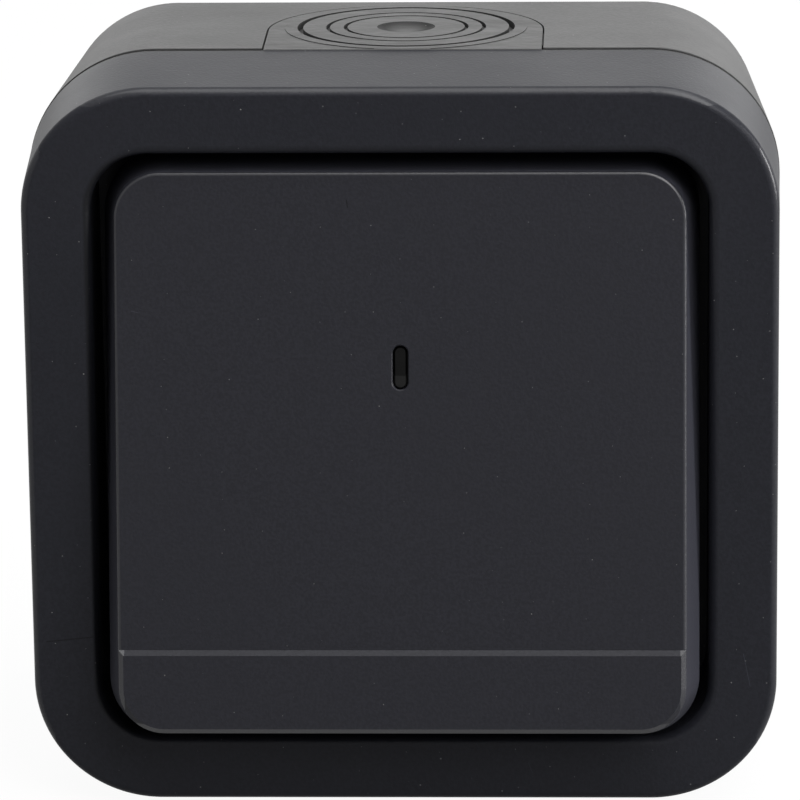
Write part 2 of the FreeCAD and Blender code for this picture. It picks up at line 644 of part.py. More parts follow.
def indicator_lens():
    """Smoked light guide, with a flange behind the face and a stem towards the lamp."""
    width, length = SLOT_WIDTH - 2 * LENS_PLAY, SLOT_LENGTH - 2 * LENS_PLAY
    inner = FACE_Y + ROCKER_WALL
    front = FACE_Y + LENS_RECESS
    stem = stadium(width, length, SLOT_ABOVE_CENTRE, front, FACE_Y + LENS_LENGTH)
    stem = stem.makeChamfer(LENS_EDGE, edges_at(stem, front))
    lap = 2 * LENS_FLANGE_LAP
    flange = stadium(width + lap, length + lap, SLOT_ABOVE_CENTRE, inner, inner + LENS_FLANGE)
    return tilted(fused([stem, flange]))


def rocker_carrier():
    """Yoke that turns in the two ears, with a tube for the toggle spring."""
    inner = FACE_Y + ROCKER_WALL
    rear = inner + CARRIER_PLATE
    plate = rounded_block(CARRIER_WIDTH, CARRIER_HEIGHT, 2.0, inner, rear)
    reach = EAR_X - EAR_THICKNESS / 2 - EAR_SIDE_PLAY
    bar = rod_x(PIVOT_Y, 0, CROSSBAR_RADIUS, -reach, reach)
    pin_end = EAR_X + EAR_THICKNESS / 2 + 0.6
    pin = rod_x(PIVOT_Y, 0, PIN_RADIUS, -pin_end, pin_end)
    tube = rod_y(0, 0, TUBE_RADIUS, PIVOT_Y, PIVOT_Y + TUBE_LENGTH)
    body = fused([plate, bar, pin, tube])
    body = body.cut(rod_y(0, 0, TUBE_BORE, PIVOT_Y + 1, PIVOT_Y + TUBE_LENGTH + 1))
    play = 2 * LENS_WINDOW_PLAY
    window = stadium(SLOT_WIDTH + play, SLOT_LENGTH + play, SLOT_ABOVE_CENTRE, inner - 1, rear + 1)
    body = body.cut(window)
    for x, z in four(CLIP_X, CLIP_Z):
        body = body.cut(rod_y(x, z, CLIP_RADIUS + SCREW_PLAY, inner - 1, rear + 1))
    return tilted(body)


def plunger():
    """Sliding tip that the spring presses on the moving contact."""
    tip = PIVOT_Y + PLUNGER_TIP_DISTANCE
    head_end = PIVOT_Y + TUBE_LENGTH + 1.4
    head = rod_y(0, 0, TUBE_BORE - PLUNGER_PLAY, head_end - PLUNGER_HEAD_LENGTH, head_end)
    neck = rod_y(0, 0, PLUNGER_TIP_RADIUS, head_end - 0.5, tip)
    ball = Part.makeSphere(PLUNGER_TIP_RADIUS, Vector(0, tip, 0))
    return tilted(fused([head, neck, ball]))


def plunger_spring():
    """Small compression spring between the tube's end and the plunger."""
    wire = SPRING_WIRE / 2
    start = PIVOT_Y + 1 + wire
    end = PIVOT_Y + TUBE_LENGTH + 1.4 - PLUNGER_HEAD_LENGTH - wire
    radius = TUBE_BORE - 2 * PLUNGER_PLAY - wire
    path = Part.makeHelix((end - start) / SPRING_TURNS, end - start, radius)
    section = Part.Wire(Part.makeCircle(wire, Vector(radius, 0, 0), Vector(0, 1, 0)))
    coil = Part.Wire(path).makePipeShell([section], True, True)
    coil.rotate(Vector(0, 0, 0), Vector(1, 0, 0), -90)
    coil.translate(Vector(0, start, 0))
    return tilted(coil)


def support_frame():
    """Pressed steel plate that carries the mechanism on the box's two posts."""
    plate = rounded_block(FRAME_HEIGHT, FRAME_HEIGHT, 3.0, PLATE_FRONT_Y, PLATE_REAR_Y)
    ears = rounded_block(FRAME_WIDTH, FRAME_EAR_HEIGHT, 3.0, PLATE_FRONT_Y, PLATE_REAR_Y)
    body = fused([plate, ears])
    body = body.cut(rounded_block(FRAME_WINDOW, FRAME_WINDOW, 2.0, PLATE_FRONT_Y - 1, PLATE_REAR_Y + 1))
    for x in (-FRAME_SCREW_X, FRAME_SCREW_X):
        body = body.cut(rod_y(x, 0, SCREW_RADIUS + 0.3, PLATE_FRONT_Y - 1, PLATE_REAR_Y + 1))
    for x, z in four(RIVET_POSITION, RIVET_POSITION):
        body = body.cut(rod_y(x, z, RIVET_RADIUS + SCREW_PLAY, PLATE_FRONT_Y - 1, PLATE_REAR_Y + 1))
    return body


def mechanism_base():
    """Insulating body with the contact chamber and four terminal pockets."""
    body = rounded_block(MECHANISM_SIZE, MECHANISM_SIZE, MECHANISM_RADIUS, PLATE_REAR_Y, MECHANISM_REAR_Y)
    chamber = box(
        -CAVITY_WIDTH / 2, CAVITY_WIDTH / 2, PLATE_REAR_Y - 1, CAVITY_FLOOR_Y,
        -CAVITY_HEIGHT / 2, CAVITY_HEIGHT / 2,
    )
    body = body.cut(chamber)
    ledge_front = FIXED_BUTTON_Y + 2 * CONTACT_STRIP
    ledge_left = -CLAMP_X + TONGUE_HALF + LEDGE_PLAY
    for s in (-1, 1):
        z0, z1 = sorted((s * LEDGE_INNER_Z, s * (CAVITY_HEIGHT / 2 + 0.5)))
        body = fused([body, box(ledge_left, CAVITY_WIDTH / 2 + 0.5, ledge_front, CAVITY_FLOOR_Y + 0.5, z0, z1)])
    half = CLAMP_WIDTH / 2 + CLAMP_PLAY
    front, rear = CLAMP_REAR_Y - CLAMP_DEPTH - CLAMP_PLAY, CLAMP_REAR_Y
    for x, z in four(CLAMP_X, 1):
        z0, z1 = sorted((z * (CLAMP_INNER_Z - CLAMP_PLAY), z * MECHANISM_SIZE))
        body = body.cut(box(x - half, x + half, front, rear, z0, z1))
        at = z * (CLAMP_INNER_Z + CLAMP_LENGTH / 2)
        body = body.cut(rod_y(x, at, WIRE_RADIUS, rear - 1, MECHANISM_REAR_Y + 1))
    for cut in strip_tunnels():
        body = body.cut(cut)
    for x, z in four(RIVET_POSITION, RIVET_POSITION):
        body = body.cut(rod_y(x, z, RIVET_RADIUS + SCREW_PLAY, PLATE_REAR_Y - 1, MECHANISM_REAR_Y + 1))
    return body


def strip_tunnels():
    """Slots in the base's inner walls for the contact strips."""
    play = 0.1
    rear = FIXED_BUTTON_Y + 2 * CONTACT_STRIP
    cuts = []
    for s in (-1, 1):
        z0, z1 = sorted((s * (CAVITY_HEIGHT / 2 - 1), s * CLAMP_INNER_Z))
        x0, x1 = CLAMP_X - TONGUE_HALF - play, CLAMP_X + TONGUE_HALF + play
        cuts.append(box(x0, x1, rear - CONTACT_STRIP - play, rear, z0, z1))
    x0, x1 = -CLAMP_X - TONGUE_HALF - play, -CLAMP_X + TONGUE_HALF + play
    floor = CAVITY_FLOOR_Y
    cuts.append(box(x0, x1, floor - CONTACT_STRIP - play, floor, CAVITY_HEIGHT / 2 - 1, CLAMP_INNER_Z))
    return cuts


def fixed_contact(side):
    """Fixed contact: a button on a strip that runs to its terminal."""
    front = FIXED_BUTTON_Y + CONTACT_STRIP
    rear = front + CONTACT_STRIP
    z0, z1 = sorted((side * (LEDGE_INNER_Z + 0.1), side * (CAVITY_HEIGHT / 2 - 0.1)))
    t0, t1 = sorted((side * (CAVITY_HEIGHT / 2 - 1), side * CLAMP_INNER_Z))
    return fused([
        rod_y(0, side * BUTTON_AT, BUTTON_RADIUS, FIXED_BUTTON_Y, front + 0.2),
        box(-CONTACT_WIDTH / 2, CLAMP_X + TONGUE_HALF, front, rear, z0, z1),
        box(CLAMP_X - TONGUE_HALF, CLAMP_X + TONGUE_HALF, front, rear, t0, t1),
    ])


def centre_contact():
    """Common contact: an upright blade under the moving contact, on a strip to its terminal."""
    floor = CAVITY_FLOOR_Y
    front = floor - CONTACT_STRIP
    top = CONTACT_PIVOT_Y + BLADE_BEHIND_PIVOT
    half = BLADE_THICKNESS / 2
    blade = box(-BLADE_HALF, BLADE_HALF, top, front + 0.2, -half, half)
    edge = rod_x(top, 0, half, -BLADE_HALF, BLADE_HALF)
    foot = box(-CLAMP_X - TONGUE_HALF, BLADE_HALF, front, floor, -TONGUE_HALF, TONGUE_HALF)
    run = box(-CLAMP_X - TONGUE_HALF, -CLAMP_X + TONGUE_HALF, front, floor, -TONGUE_HALF, CLAMP_INNER_Z)
    return fused([blade, edge, foot, run])


def contact_rocker():
    """Moving contact: a dished see-saw strip with a button at each end."""
    y = CONTACT_PIVOT_Y
    low, high = -CONTACT_DISH, -2 * CONTACT_DISH
    dish, shoulder = CONTACT_DISH_HALF, 2 * CONTACT_DISH_HALF
    front = [
        (-CONTACT_ARM, high), (-shoulder, high), (-dish, low),
        (dish, low), (shoulder, high), (CONTACT_ARM, high),
    ]
    back = [(z, d + CONTACT_THICKNESS) for z, d in reversed(front)]
    points = [Vector(-CONTACT_WIDTH / 2, y + d, z) for z, d in front + back]
    strip = Part.Face(Part.makePolygon(points + points[:1])).extrude(Vector(CONTACT_WIDTH, 0, 0))
    buttons = [rod_y(0, s * BUTTON_AT, BUTTON_RADIUS, y - BUTTON_HEIGHT, y + 0.2) for s in (-1, 1)]
    body = fused([strip, *buttons])
    body.rotate(Vector(0, y, 0), Vector(1, 0, 0), CONTACT_TILT)
    return body


def mechanism_lid():
    """Front plate with the two ears that the rocker turns in."""
    body = rounded_block(MECHANISM_SIZE, MECHANISM_SIZE, MECHANISM_RADIUS, LID_FRONT_Y, PLATE_FRONT_Y)
    pieces = [body]
    for s in (-1, 1):
        x = s * EAR_X - EAR_THICKNESS / 2
        foot = LID_FRONT_Y + 0.5
        outline = [
            Vector(x, foot, -EAR_FOOT / 2), Vector(x, PIVOT_Y, -EAR_RADIUS),
            Vector(x, PIVOT_Y, EAR_RADIUS), Vector(x, foot, EAR_FOOT / 2),
        ]
        face = Part.Face(Part.makePolygon(outline + outline[:1]))
        pieces.append(face.extrude(Vector(EAR_THICKNESS, 0, 0)))
        pieces.append(rod_x(PIVOT_Y, 0, EAR_RADIUS, x, x + EAR_THICKNESS))
    body = fused(pieces)
    body = body.cut(rod_x(PIVOT_Y, 0, PIN_RADIUS + PIN_PLAY, -EAR_X - 5, EAR_X + 5))
    half_w, half_h = LID_WINDOW_WIDTH / 2, LID_WINDOW_HEIGHT / 2
    body = body.cut(box(-half_w, half_w, LID_FRONT_Y - 0.1, PLATE_FRONT_Y + 1, -half_h, half_h))
    for x, z in four(RIVET_POSITION, RIVET_POSITION):
        body = body.cut(rod_y(x, z, RIVET_RADIUS + SCREW_PLAY, LID_FRONT_Y - 1, PLATE_FRONT_Y + 1))
    return body


def lid_rivets():
    """Four rivets through lid, plate and base."""
    rivets = []
    for x, z in four(RIVET_POSITION, RIVET_POSITION):
        shank = rod_y(x, z, RIVET_RADIUS, LID_FRONT_Y - 0.3, MECHANISM_REAR_Y + 0.3)
        front = rod_y(x, z, 2 * RIVET_RADIUS, LID_FRONT_Y - 0.6, LID_FRONT_Y)
        rear = rod_y(x, z, 2 * RIVET_RADIUS, MECHANISM_REAR_Y, MECHANISM_REAR_Y + 0.6)
        rivets.append(fused([shank, front, rear]))
    return Part.Compound(rivets)


def terminal_clamps():
    """Four brass terminal blocks in the base's pockets."""
    blocks = []
    front = CLAMP_REAR_Y - CLAMP_DEPTH
    for x, s in four(CLAMP_X, 1):
        z0, z1 = sorted((s * CLAMP_INNER_Z, s * (CLAMP_INNER_Z + CLAMP_LENGTH)))
        block = box(x - CLAMP_WIDTH / 2, x + CLAMP_WIDTH / 2, front, CLAMP_REAR_Y, z0, z1)
        middle = (z0 + z1) / 2
        block = block.cut(rod_y(x, middle, WIRE_RADIUS, front + 1.5, CLAMP_REAR_Y + 1))
        y = CLAMP_REAR_Y - CLAMP_DEPTH / 2
        w0, w1 = sorted((middle, s * (CLAMP_INNER_Z + CLAMP_LENGTH + 1)))
        blocks.append(block.cut(rod_z(x, y, TERMINAL_SCREW_RADIUS + SCREW_PLAY, w0, w1)))
    return Part.Compound(blocks)


def terminal_screws():
    """Four slotted screws, one in each terminal block."""
    screws = []
    y = CLAMP_REAR_Y - CLAMP_DEPTH / 2
    outer = CLAMP_INNER_Z + CLAMP_LENGTH
    for x, s in four(CLAMP_X, 1):
        z0, z1 = sorted((s * (outer - TERMINAL_SCREW_LENGTH), s * (outer + 0.1)))
        h0, h1 = sorted((s * outer, s * (outer + TERMINAL_HEAD_HEIGHT)))
        shank = rod_z(x, y, TERMINAL_SCREW_RADIUS, z0, z1)
        head = rod_z(x, y, TERMINAL_HEAD_RADIUS, h0, h1)
        g0, g1 = sorted((s * (outer + TERMINAL_HEAD_HEIGHT / 2), s * (outer + 2 * TERMINAL_HEAD_HEIGHT)))
        reach, half = TERMINAL_HEAD_RADIUS + 1, DRIVER_SLOT / 2
        screws.append(fused([shank, head]).cut(box(x - reach, x + reach, y - half, y + half, g0, g1)))
    return Part.Compound(screws)


def slotted_screw(x, z, head_height, seat_y, length):
    """Screw along Y with its head in front of seat_y and a straight driver slot."""
    radius, half = SCREW_HEAD_RADIUS, DRIVER_SLOT / 2
    shank = rod_y(x, z, SCREW_RADIUS, seat_y - 0.2, seat_y + length)
    head = rod_y(x, z, radius, seat_y - head_height, seat_y)
    slot = box(x - radius, x + radius, seat_y - head_height - 1, seat_y - head_height / 2, z - half, z + half)
    return fused([shank, head]).cut(slot)


def frame_screws():
    """Two low-headed screws that hold the steel plate on its posts."""
    return Part.Compound([
        slotted_screw(x, 0, FRAME_SCREW_HEAD, PLATE_FRONT_Y, FRAME_SCREW_LENGTH)
        for x in (-FRAME_SCREW_X, FRAME_SCREW_X)
    ])


def cover_screws():
    """Four screws that hold the cover on the box, hidden under the rocker."""
    seat = WELL_FLOOR_Y + COVER_SCREW_SEAT
    return Part.Compound([
        slotted_screw(x, z, COVER_SCREW_HEAD, seat, COVER_SCREW_LENGTH)
        for x, z in four(COVER_SCREW_AT, COVER_SCREW_AT)
    ])


def wall_hole_seals():
    """Four soft washers on the bosses of the wall holes."""
    rear = FLOOR_Y - WALL_BOSS_HEIGHT
    seals = []
    for x, z in four(WALL_HOLE_X, WALL_HOLE_Z):
        ring = rod_y(x, z, WALL_BOSS_RADIUS - 0.3, rear - 1.0, rear)
        seals.append(ring.cut(rod_y(x, z, WALL_HOLE_RADIUS, rear - 2, rear + 1)))
    return Part.Compound(seals)


def rocker_seal():
    """Soft frame between the cover's well and the mechanism, with a raised lip."""
    rear, front = WELL_REAR_Y + 0.9, WELL_REAR_Y
    flange_size = WELL_WINDOW + 2 * SEAL_FLANGE_LAP
    flange = rounded_block(flange_size, flange_size, SEAL_FLANGE_RADIUS, front, rear)
    lip_size = MECHANISM_SIZE + 2 * SEAL_LIP + 0.2
    lip = rounded_block(lip_size, lip_size, MECHANISM_RADIUS + SEAL_LIP, front - SEAL_RISE, rear)
    inner = MECHANISM_SIZE + 0.2
    hole = rounded_block(inner, inner, MECHANISM_RADIUS, front - SEAL_RISE - 1, rear + 1)
    return fused([flange, lip]).cut(hole)


def lamp_holder():
    """Small socket on the lid for the indicator lamp."""
    half, front = LAMP_SOCKET_HALF, LID_FRONT_Y - LAMP_SOCKET_DEPTH
    holder = box(-half, half, front, LID_FRONT_Y, LAMP_Z - LAMP_RADIUS, LAMP_Z + half)
    return holder.cut(rod_y(0, LAMP_Z + 0.4, LAMP_RADIUS - 0.6, front - 1, LID_FRONT_Y - 1))


def indicator_lamp():
    """Glass lamp with a round end, standing in its socket behind the light guide."""
    z = LAMP_Z + 0.4
    seat = LID_FRONT_Y - LAMP_SOCKET_DEPTH
    radius = LAMP_RADIUS - 0.4
    tail = rod_y(0, z, LAMP_RADIUS - 0.65, seat - 0.2, LID_FRONT_Y - 1)
    glass = rod_y(0, z, radius, seat - LAMP_LENGTH + radius, seat)
    dome = Part.makeSphere(radius, Vector(0, seat - LAMP_LENGTH + radius, z))
    return fused([tail, glass, dome])


def earth_terminal():
    """Brass block with its screw on the box floor, which parks the protective conductor."""
    rear = FLOOR_Y - EARTH_PAD_HEIGHT
    half = EARTH_WIDTH / 2
    front = rear - EARTH_BLOCK_DEPTH
    block = box(EARTH_X - half, EARTH_X + half, front, rear, EARTH_Z - half, EARTH_Z + half)
    block = block.cut(rod_z(EARTH_X, rear - EARTH_WIRE_IN, WIRE_RADIUS, EARTH_Z - half - 1, EARTH_Z + half + 1))
    head = rod_y(EARTH_X, EARTH_Z, TERMINAL_HEAD_RADIUS, front - TERMINAL_HEAD_HEIGHT, front)
    reach, cut = TERMINAL_HEAD_RADIUS + 1, DRIVER_SLOT / 2
    slot = box(
        EARTH_X - reach, EARTH_X + reach, front - 2 * TERMINAL_HEAD_HEIGHT, front - TERMINAL_HEAD_HEIGHT / 2,
        EARTH_Z - cut, EARTH_Z + cut,
    )
    return fused([block, head]).cut(slot)


def main():
    """Builds every piece and writes it under its own name."""
    membrane = entry_membrane()
    pieces = {
        "rear_box": rear_box(),
        "entry_membrane_top": membrane,
        "entry_membrane_bottom": flipped(membrane),
        "box_gasket": box_gasket(),
        "front_cover": front_cover(),
        "rocker": rocker(),
        "indicator_lens": indicator_lens(),
        "rocker_carrier": rocker_carrier(),
        "plunger": plunger(),
        "plunger_spring": plunger_spring(),
        "support_frame": support_frame(),
        "mechanism_base": mechanism_base(),
        "mechanism_lid": mechanism_lid(),
        "lid_rivets": lid_rivets(),
        "contact_rocker": contact_rocker(),
        "centre_contact": centre_contact(),
        "fixed_contact_upper": fixed_contact(1),
        "fixed_contact_lower": fixed_contact(-1),
        "terminal_clamps": terminal_clamps(),
        "terminal_screws": terminal_screws(),
        "frame_screws": frame_screws(),
        "cover_screws": cover_screws(),
        "wall_hole_seals": wall_hole_seals(),
        "rocker_seal": rocker_seal(),
        "lamp_holder": lamp_holder(),
        "indicator_lamp": indicator_lamp(),
        "earth_terminal": earth_terminal(),
    }
    os.makedirs("parts", exist_ok=True)
    for name, shape in pieces.items():
        shape.exportStep(f"parts/{name}.step")
        print(name, len(shape.Solids), shape.isValid(), round(shape.Volume, 1))


main()
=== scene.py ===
"""The looks of a surface-mounted weatherproof rocker switch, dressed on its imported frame.

Metres, in the frame's own axes: the wall face is y = 0, the front is towards -Y and +Z is up. Finishes and
sub-assemblies give their levels, reaches and depths in millimetres, and MM turns them into metres.
"""

import json
import logging
import math
from dataclasses import dataclass
from enum import Enum
from typing import Iterable

import bpy
from mathutils import Matrix, Vector


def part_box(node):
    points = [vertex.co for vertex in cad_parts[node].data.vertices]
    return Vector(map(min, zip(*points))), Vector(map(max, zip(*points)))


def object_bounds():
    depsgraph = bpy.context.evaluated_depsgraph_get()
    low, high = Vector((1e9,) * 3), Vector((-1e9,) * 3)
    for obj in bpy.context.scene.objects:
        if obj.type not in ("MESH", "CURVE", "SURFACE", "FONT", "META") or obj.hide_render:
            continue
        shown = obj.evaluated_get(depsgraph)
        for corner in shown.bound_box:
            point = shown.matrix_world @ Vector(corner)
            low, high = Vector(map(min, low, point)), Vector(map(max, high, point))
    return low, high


logging.basicConfig(level=logging.INFO, format="%(name)s: %(message)s")
LOG = logging.getLogger("switch")

MM = 0.001

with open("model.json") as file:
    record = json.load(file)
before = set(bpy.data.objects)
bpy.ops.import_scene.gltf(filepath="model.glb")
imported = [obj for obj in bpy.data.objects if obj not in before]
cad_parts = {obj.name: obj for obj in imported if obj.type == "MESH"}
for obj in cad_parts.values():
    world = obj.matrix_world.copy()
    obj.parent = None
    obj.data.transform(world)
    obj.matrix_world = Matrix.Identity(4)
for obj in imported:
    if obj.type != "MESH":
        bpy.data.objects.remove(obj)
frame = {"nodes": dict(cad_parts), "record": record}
CAD_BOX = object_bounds()

Node = bpy.types.Node
Socket = bpy.types.NodeSocket
Tree = bpy.types.NodeTree
Material = bpy.types.Material
Object = bpy.types.Object
Colour = tuple[float, float, float]
Place = tuple[float, float, float]

# Half the width of the cable entries where they meet the parting line, in millimetres.
ENTRY_HALF_WIDTH = 14.3
# How far a band of painted light or shade reaches past the rim that it follows, in millimetres.
SEAM_MARGIN = 1.0
# Limits that nothing of the object passes, in millimetres.
BELOW_ALL = -100.0
BEYOND_ALL = 1000.0


class Slot(Enum):
    """The material slots of the record."""

    BOX = "box_plastic"
    ENTRY = "entry_rubber"
    COVER = "cover_plastic"
    LENS = "smoked_lens"
    SEAL = "seal_rubber"
    CARRIER = "carrier_plastic"
    MECHANISM = "mechanism_plastic"
    ZINC = "zinc_steel"
    SPRING = "spring_steel"
    BRASS = "contact_brass"
    LAMP = "lamp_glass"


def grey(level: float) -> Colour:
    """A neutral linear colour."""
    return (level, level, level)


def scaled(colour: Colour, factor: float) -> Colour:
    """A colour made lighter or darker by a factor."""
    return tuple(min(1.0, part * factor) for part in colour)


def parting_level() -> float:
    """Level of the box's front rim, as its Y in millimetres."""
    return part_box("rear_box")[0].y / MM


class Graph:
    """Adds and links nodes in one node tree."""

    def __init__(self, tree: Tree) -> None:
        """Keeps the tree that nodes are added to."""
        self.tree = tree

    def add(self, kind: str, inputs: dict | None = None, **settings: object) -> Node:
        """Adds a node.

        Args:
            kind: The node's type name.
            inputs: Values or sockets, by input name or index.
            settings: Properties of the node itself.

        Returns:
            The new node.
        """
        node = self.tree.nodes.new(kind)
        for name, value in settings.items():
            setattr(node, name, value)
        for key, value in (inputs or {}).items():
            self.feed(node.inputs[key], value)
        return node

    def feed(self, socket: Socket, value: object) -> None:
        """Links an output to an input, or sets the input's own value.

        Args:
            socket: The input.
            value: Another node's output, a colour or a plain value.
        """
        if isinstance(value, bpy.types.NodeSocket):
            self.tree.links.new(value, socket)
        elif isinstance(value, tuple) and len(value) == 3 and socket.type == "RGBA":
            socket.default_value = (*value, 1.0)
        else:
            socket.default_value = value

    def math(self, operation: str, first: object, second: object = 0.0) -> Socket:
        """One arithmetic step."""
        return self.add("ShaderNodeMath", {0: first, 1: second}, operation=operation).outputs[0]

    def dot(self, first: Iterable[Socket], second: Iterable[Socket]) -> Socket:
        """Sum of the products of two pairs."""
        return self.math("ADD", *(self.math("MULTIPLY", a, b) for a, b in zip(first, second)))

    def blend(self, share: object, low: object, high: object) -> Socket:
        """Mixes two colours.

        Args:
            share: Share of the second colour, from 0 to 1.
            low: First colour.
            high: Second colour.

        Returns:
            The mixed colour.
        """
        node = self.add("ShaderNodeMix", data_type="RGBA")
        for index, value in ((0, share), (6, low), (7, high)):
            self.feed(node.inputs[index], value)
        return node.outputs[2]

    def pick(self, switch: object, low: object, high: object) -> Socket:
        """One of two values: low where the switch is 0 and high where it is 1."""
        return self.add("ShaderNodeMix", {0: switch, 2: low, 3: high}).outputs[0]

    def slide(self, value: object, start: object, end: object) -> Socket:
        """An even change from 0 at the start to 1 at the end."""
        return self.add("ShaderNodeMapRange", {0: value, 1: start, 2: end, 3: 0.0, 4: 1.0}).outputs[0]

    def ramp(
        self, value: object, start: float, end: float, low: float = 0.0, high: float = 1.0
    ) -> Socket:
        """A smooth step.

        Args:
            value: What is read.
            start: Where the step starts.
            end: Where it ends.
            low: Result up to the start.
            high: Result past the end.

        Returns:
            The result.
        """
        node = self.add("ShaderNodeMapRange", {0: value, 1: start, 2: end, 3: low, 4: high})
        node.interpolation_type = "SMOOTHSTEP"
        return node.outputs[0]

    def point(self) -> Socket:
        """The point's place in the object's own axes, in metres."""
        return self.add("ShaderNodeTexCoord").outputs["Object"]

    def facing(self) -> Socket:
        """The way that the surface faces, in the object's own axes."""
        return self.add("ShaderNodeTexCoord").outputs["Normal"]

    def split(self, vector: Socket) -> tuple[Socket, ...]:
        """X, Y and Z of a vector."""
        return tuple(self.add("ShaderNodeSeparateXYZ", {0: vector}).outputs)


class Effect(Enum):
    """Shared surface effects, each built once as a node group."""

    GRAIN = "moulded_grain"
    DUST = "dust_specks"
    CLOUD = "moulding_cloud"
    BRUSH = "drawn_lines"
    HAIRLINE = "hairline_mark"
    EDGE = "worn_edge"
    SLOPE = "sloping_walls"
    FLANK = "side_faces"
    INNER = "inner_edge"


class EffectLibrary:
    """Builds the shared node groups, and places them in materials."""

    # Scale of the coarse part of the grain, as a share of the fine part's.
    COARSE_SCALE = 0.22
    # Levels of noise between which a mask goes from 0 to 1.
    GRAIN_RANGE = (0.35, 0.65)
    CLOUD_RANGE = (0.3, 0.7)
    # A speck has at least these shares of the given size and of the full strength.
    LEAST_SIZE = 0.35
    LEAST_STRENGTH = 0.2
    # Shift of the specks on side faces, in metres, so that they don't repeat those of the front.
    SIDE_SHIFT = 1.0
    # Hairline marks lie on what is in front of this level, in millimetres.
    FRONT_ONLY_Y = -40.0
    # Shares of the normal along Y and X between which a mask goes from 0 to 1.
    FORWARD_RANGE = (0.1, 0.3)
    INNER_RANGE = (0.02, 0.45)
    # Stretch of the drawn lines, which run along X.
    BRUSH_STRETCH = (0.04, 1.0, 1.0)

    def __init__(self) -> None:
        """Builds every group once."""
        self.groups = {
            Effect.GRAIN: self._grain(),
            Effect.DUST: self._dust(),
            Effect.CLOUD: self._cloud(),
            Effect.BRUSH: self._brush(),
            Effect.HAIRLINE: self._hairline(),
            Effect.EDGE: self._edge(),
            Effect.SLOPE: self._slope(),
            Effect.FLANK: self._flank(),
            Effect.INNER: self._inner(),
        }

    @staticmethod
    def _start(
        effect: Effect, inputs: dict[str, float], outputs: Iterable[str] = ("Mask",)
    ) -> tuple[Graph, Node, Node]:
        """Makes an empty group with float sockets.

        Args:
            effect: The effect that the group is for.
            inputs: Input names with their default values.
            outputs: Output names.

        Returns:
            The graph, and its input and output nodes.
        """
        tree = bpy.data.node_groups.new(effect.value, "ShaderNodeTree")
        for name, value in inputs.items():
            socket = tree.interface.new_socket(name=name, in_out="INPUT", socket_type="NodeSocketFloat")
            socket.default_value = value
        for name in outputs:
            tree.interface.new_socket(name=name, in_out="OUTPUT", socket_type="NodeSocketFloat")
        graph = Graph(tree)
        return graph, graph.add("NodeGroupInput"), graph.add("NodeGroupOutput")

    def _grain(self) -> Tree:
        """Spark-eroded mould grain.

        Returns:
            The group, which puts out a height and a matching mask.
        """
        graph, given, made = self._start(Effect.GRAIN, {"Scale": 3000.0, "Coarse": 0.35}, ("Height", "Mask"))
        point = graph.point()
        scale = given.outputs["Scale"]
        fine = graph.add("ShaderNodeTexNoise", {"Vector": point, "Scale": scale, "Detail": 2.0})
        wide_scale = graph.math("MULTIPLY", scale, self.COARSE_SCALE)
        wide = graph.add("ShaderNodeTexNoise", {"Vector": point, "Scale": wide_scale, "Detail": 1.0})
        part = graph.math("MULTIPLY", wide.outputs[0], given.outputs["Coarse"])
        graph.feed(made.inputs["Height"], graph.math("ADD", fine.outputs[0], part))
        graph.feed(made.inputs["Mask"], graph.ramp(fine.outputs[0], *self.GRAIN_RANGE))
        return graph.tree

    def _dust(self) -> Tree:
        """Sparse specks of dust, laid flat on whichever way the surface faces.

        Returns:
            The group, which puts out a mask.
        """
        graph, given, made = self._start(Effect.DUST, {"Scale": 250.0, "Share": 0.3, "Size": 0.016})
        x, y, z = graph.split(graph.point())
        away = [graph.math("ABSOLUTE", part) for part in graph.split(graph.facing())]
        upward = graph.math("GREATER_THAN", away[2], away[1])
        sideways = graph.math("GREATER_THAN", away[0], graph.math("MAXIMUM", away[1], away[2]))
        first = graph.pick(sideways, x, graph.math("ADD", y, self.SIDE_SHIFT))
        second = graph.pick(sideways, graph.pick(upward, z, y), z)
        flat = graph.add("ShaderNodeCombineXYZ", {0: first, 1: second})
        cells = graph.add(
            "ShaderNodeTexVoronoi",
            {"Vector": flat.outputs[0], "Scale": given.outputs["Scale"], "Randomness": 1.0},
            voronoi_dimensions="2D",
        )
        draw = graph.add("ShaderNodeSeparateColor", {0: cells.outputs["Color"]}).outputs
        chosen = graph.math("LESS_THAN", draw[0], given.outputs["Share"])
        size = graph.math("MULTIPLY", given.outputs["Size"], graph.math("ADD", draw[1], self.LEAST_SIZE))
        inside = graph.math("LESS_THAN", cells.outputs["Distance"], size)
        spread = graph.math("MULTIPLY", draw[2], 1 - self.LEAST_STRENGTH)
        strength = graph.math("ADD", spread, self.LEAST_STRENGTH)
        speck = graph.math("MULTIPLY", chosen, inside)
        graph.feed(made.inputs["Mask"], graph.math("MULTIPLY", speck, strength))
        return graph.tree

    def _cloud(self) -> Tree:
        """Slow changes of tone, as hand marks and flow leave on moulded plastic.

        Returns:
            The group, which puts out a mask.
        """
        graph, given, made = self._start(Effect.CLOUD, {"Scale": 45.0})
        noise = graph.add(
            "ShaderNodeTexNoise",
            {"Vector": graph.point(), "Scale": given.outputs["Scale"], "Detail": 3.0, "Roughness": 0.55},
        )
        graph.feed(made.inputs["Mask"], graph.ramp(noise.outputs[0], *self.CLOUD_RANGE))
        return graph.tree

    def _brush(self) -> Tree:
        """Fine drawn or rolled lines along X on metal.

        Returns:
            The group, which puts out a height.
        """
        graph, given, made = self._start(Effect.BRUSH, {"Scale": 900.0}, ("Height",))
        mapping = graph.add("ShaderNodeMapping", {"Vector": graph.point(), "Scale": self.BRUSH_STRETCH})
        noise = graph.add(
            "ShaderNodeTexNoise",
            {"Vector": mapping.outputs[0], "Scale": given.outputs["Scale"], "Detail": 2.0},
        )
        graph.feed(made.inputs["Height"], noise.outputs[0])
        return graph.tree

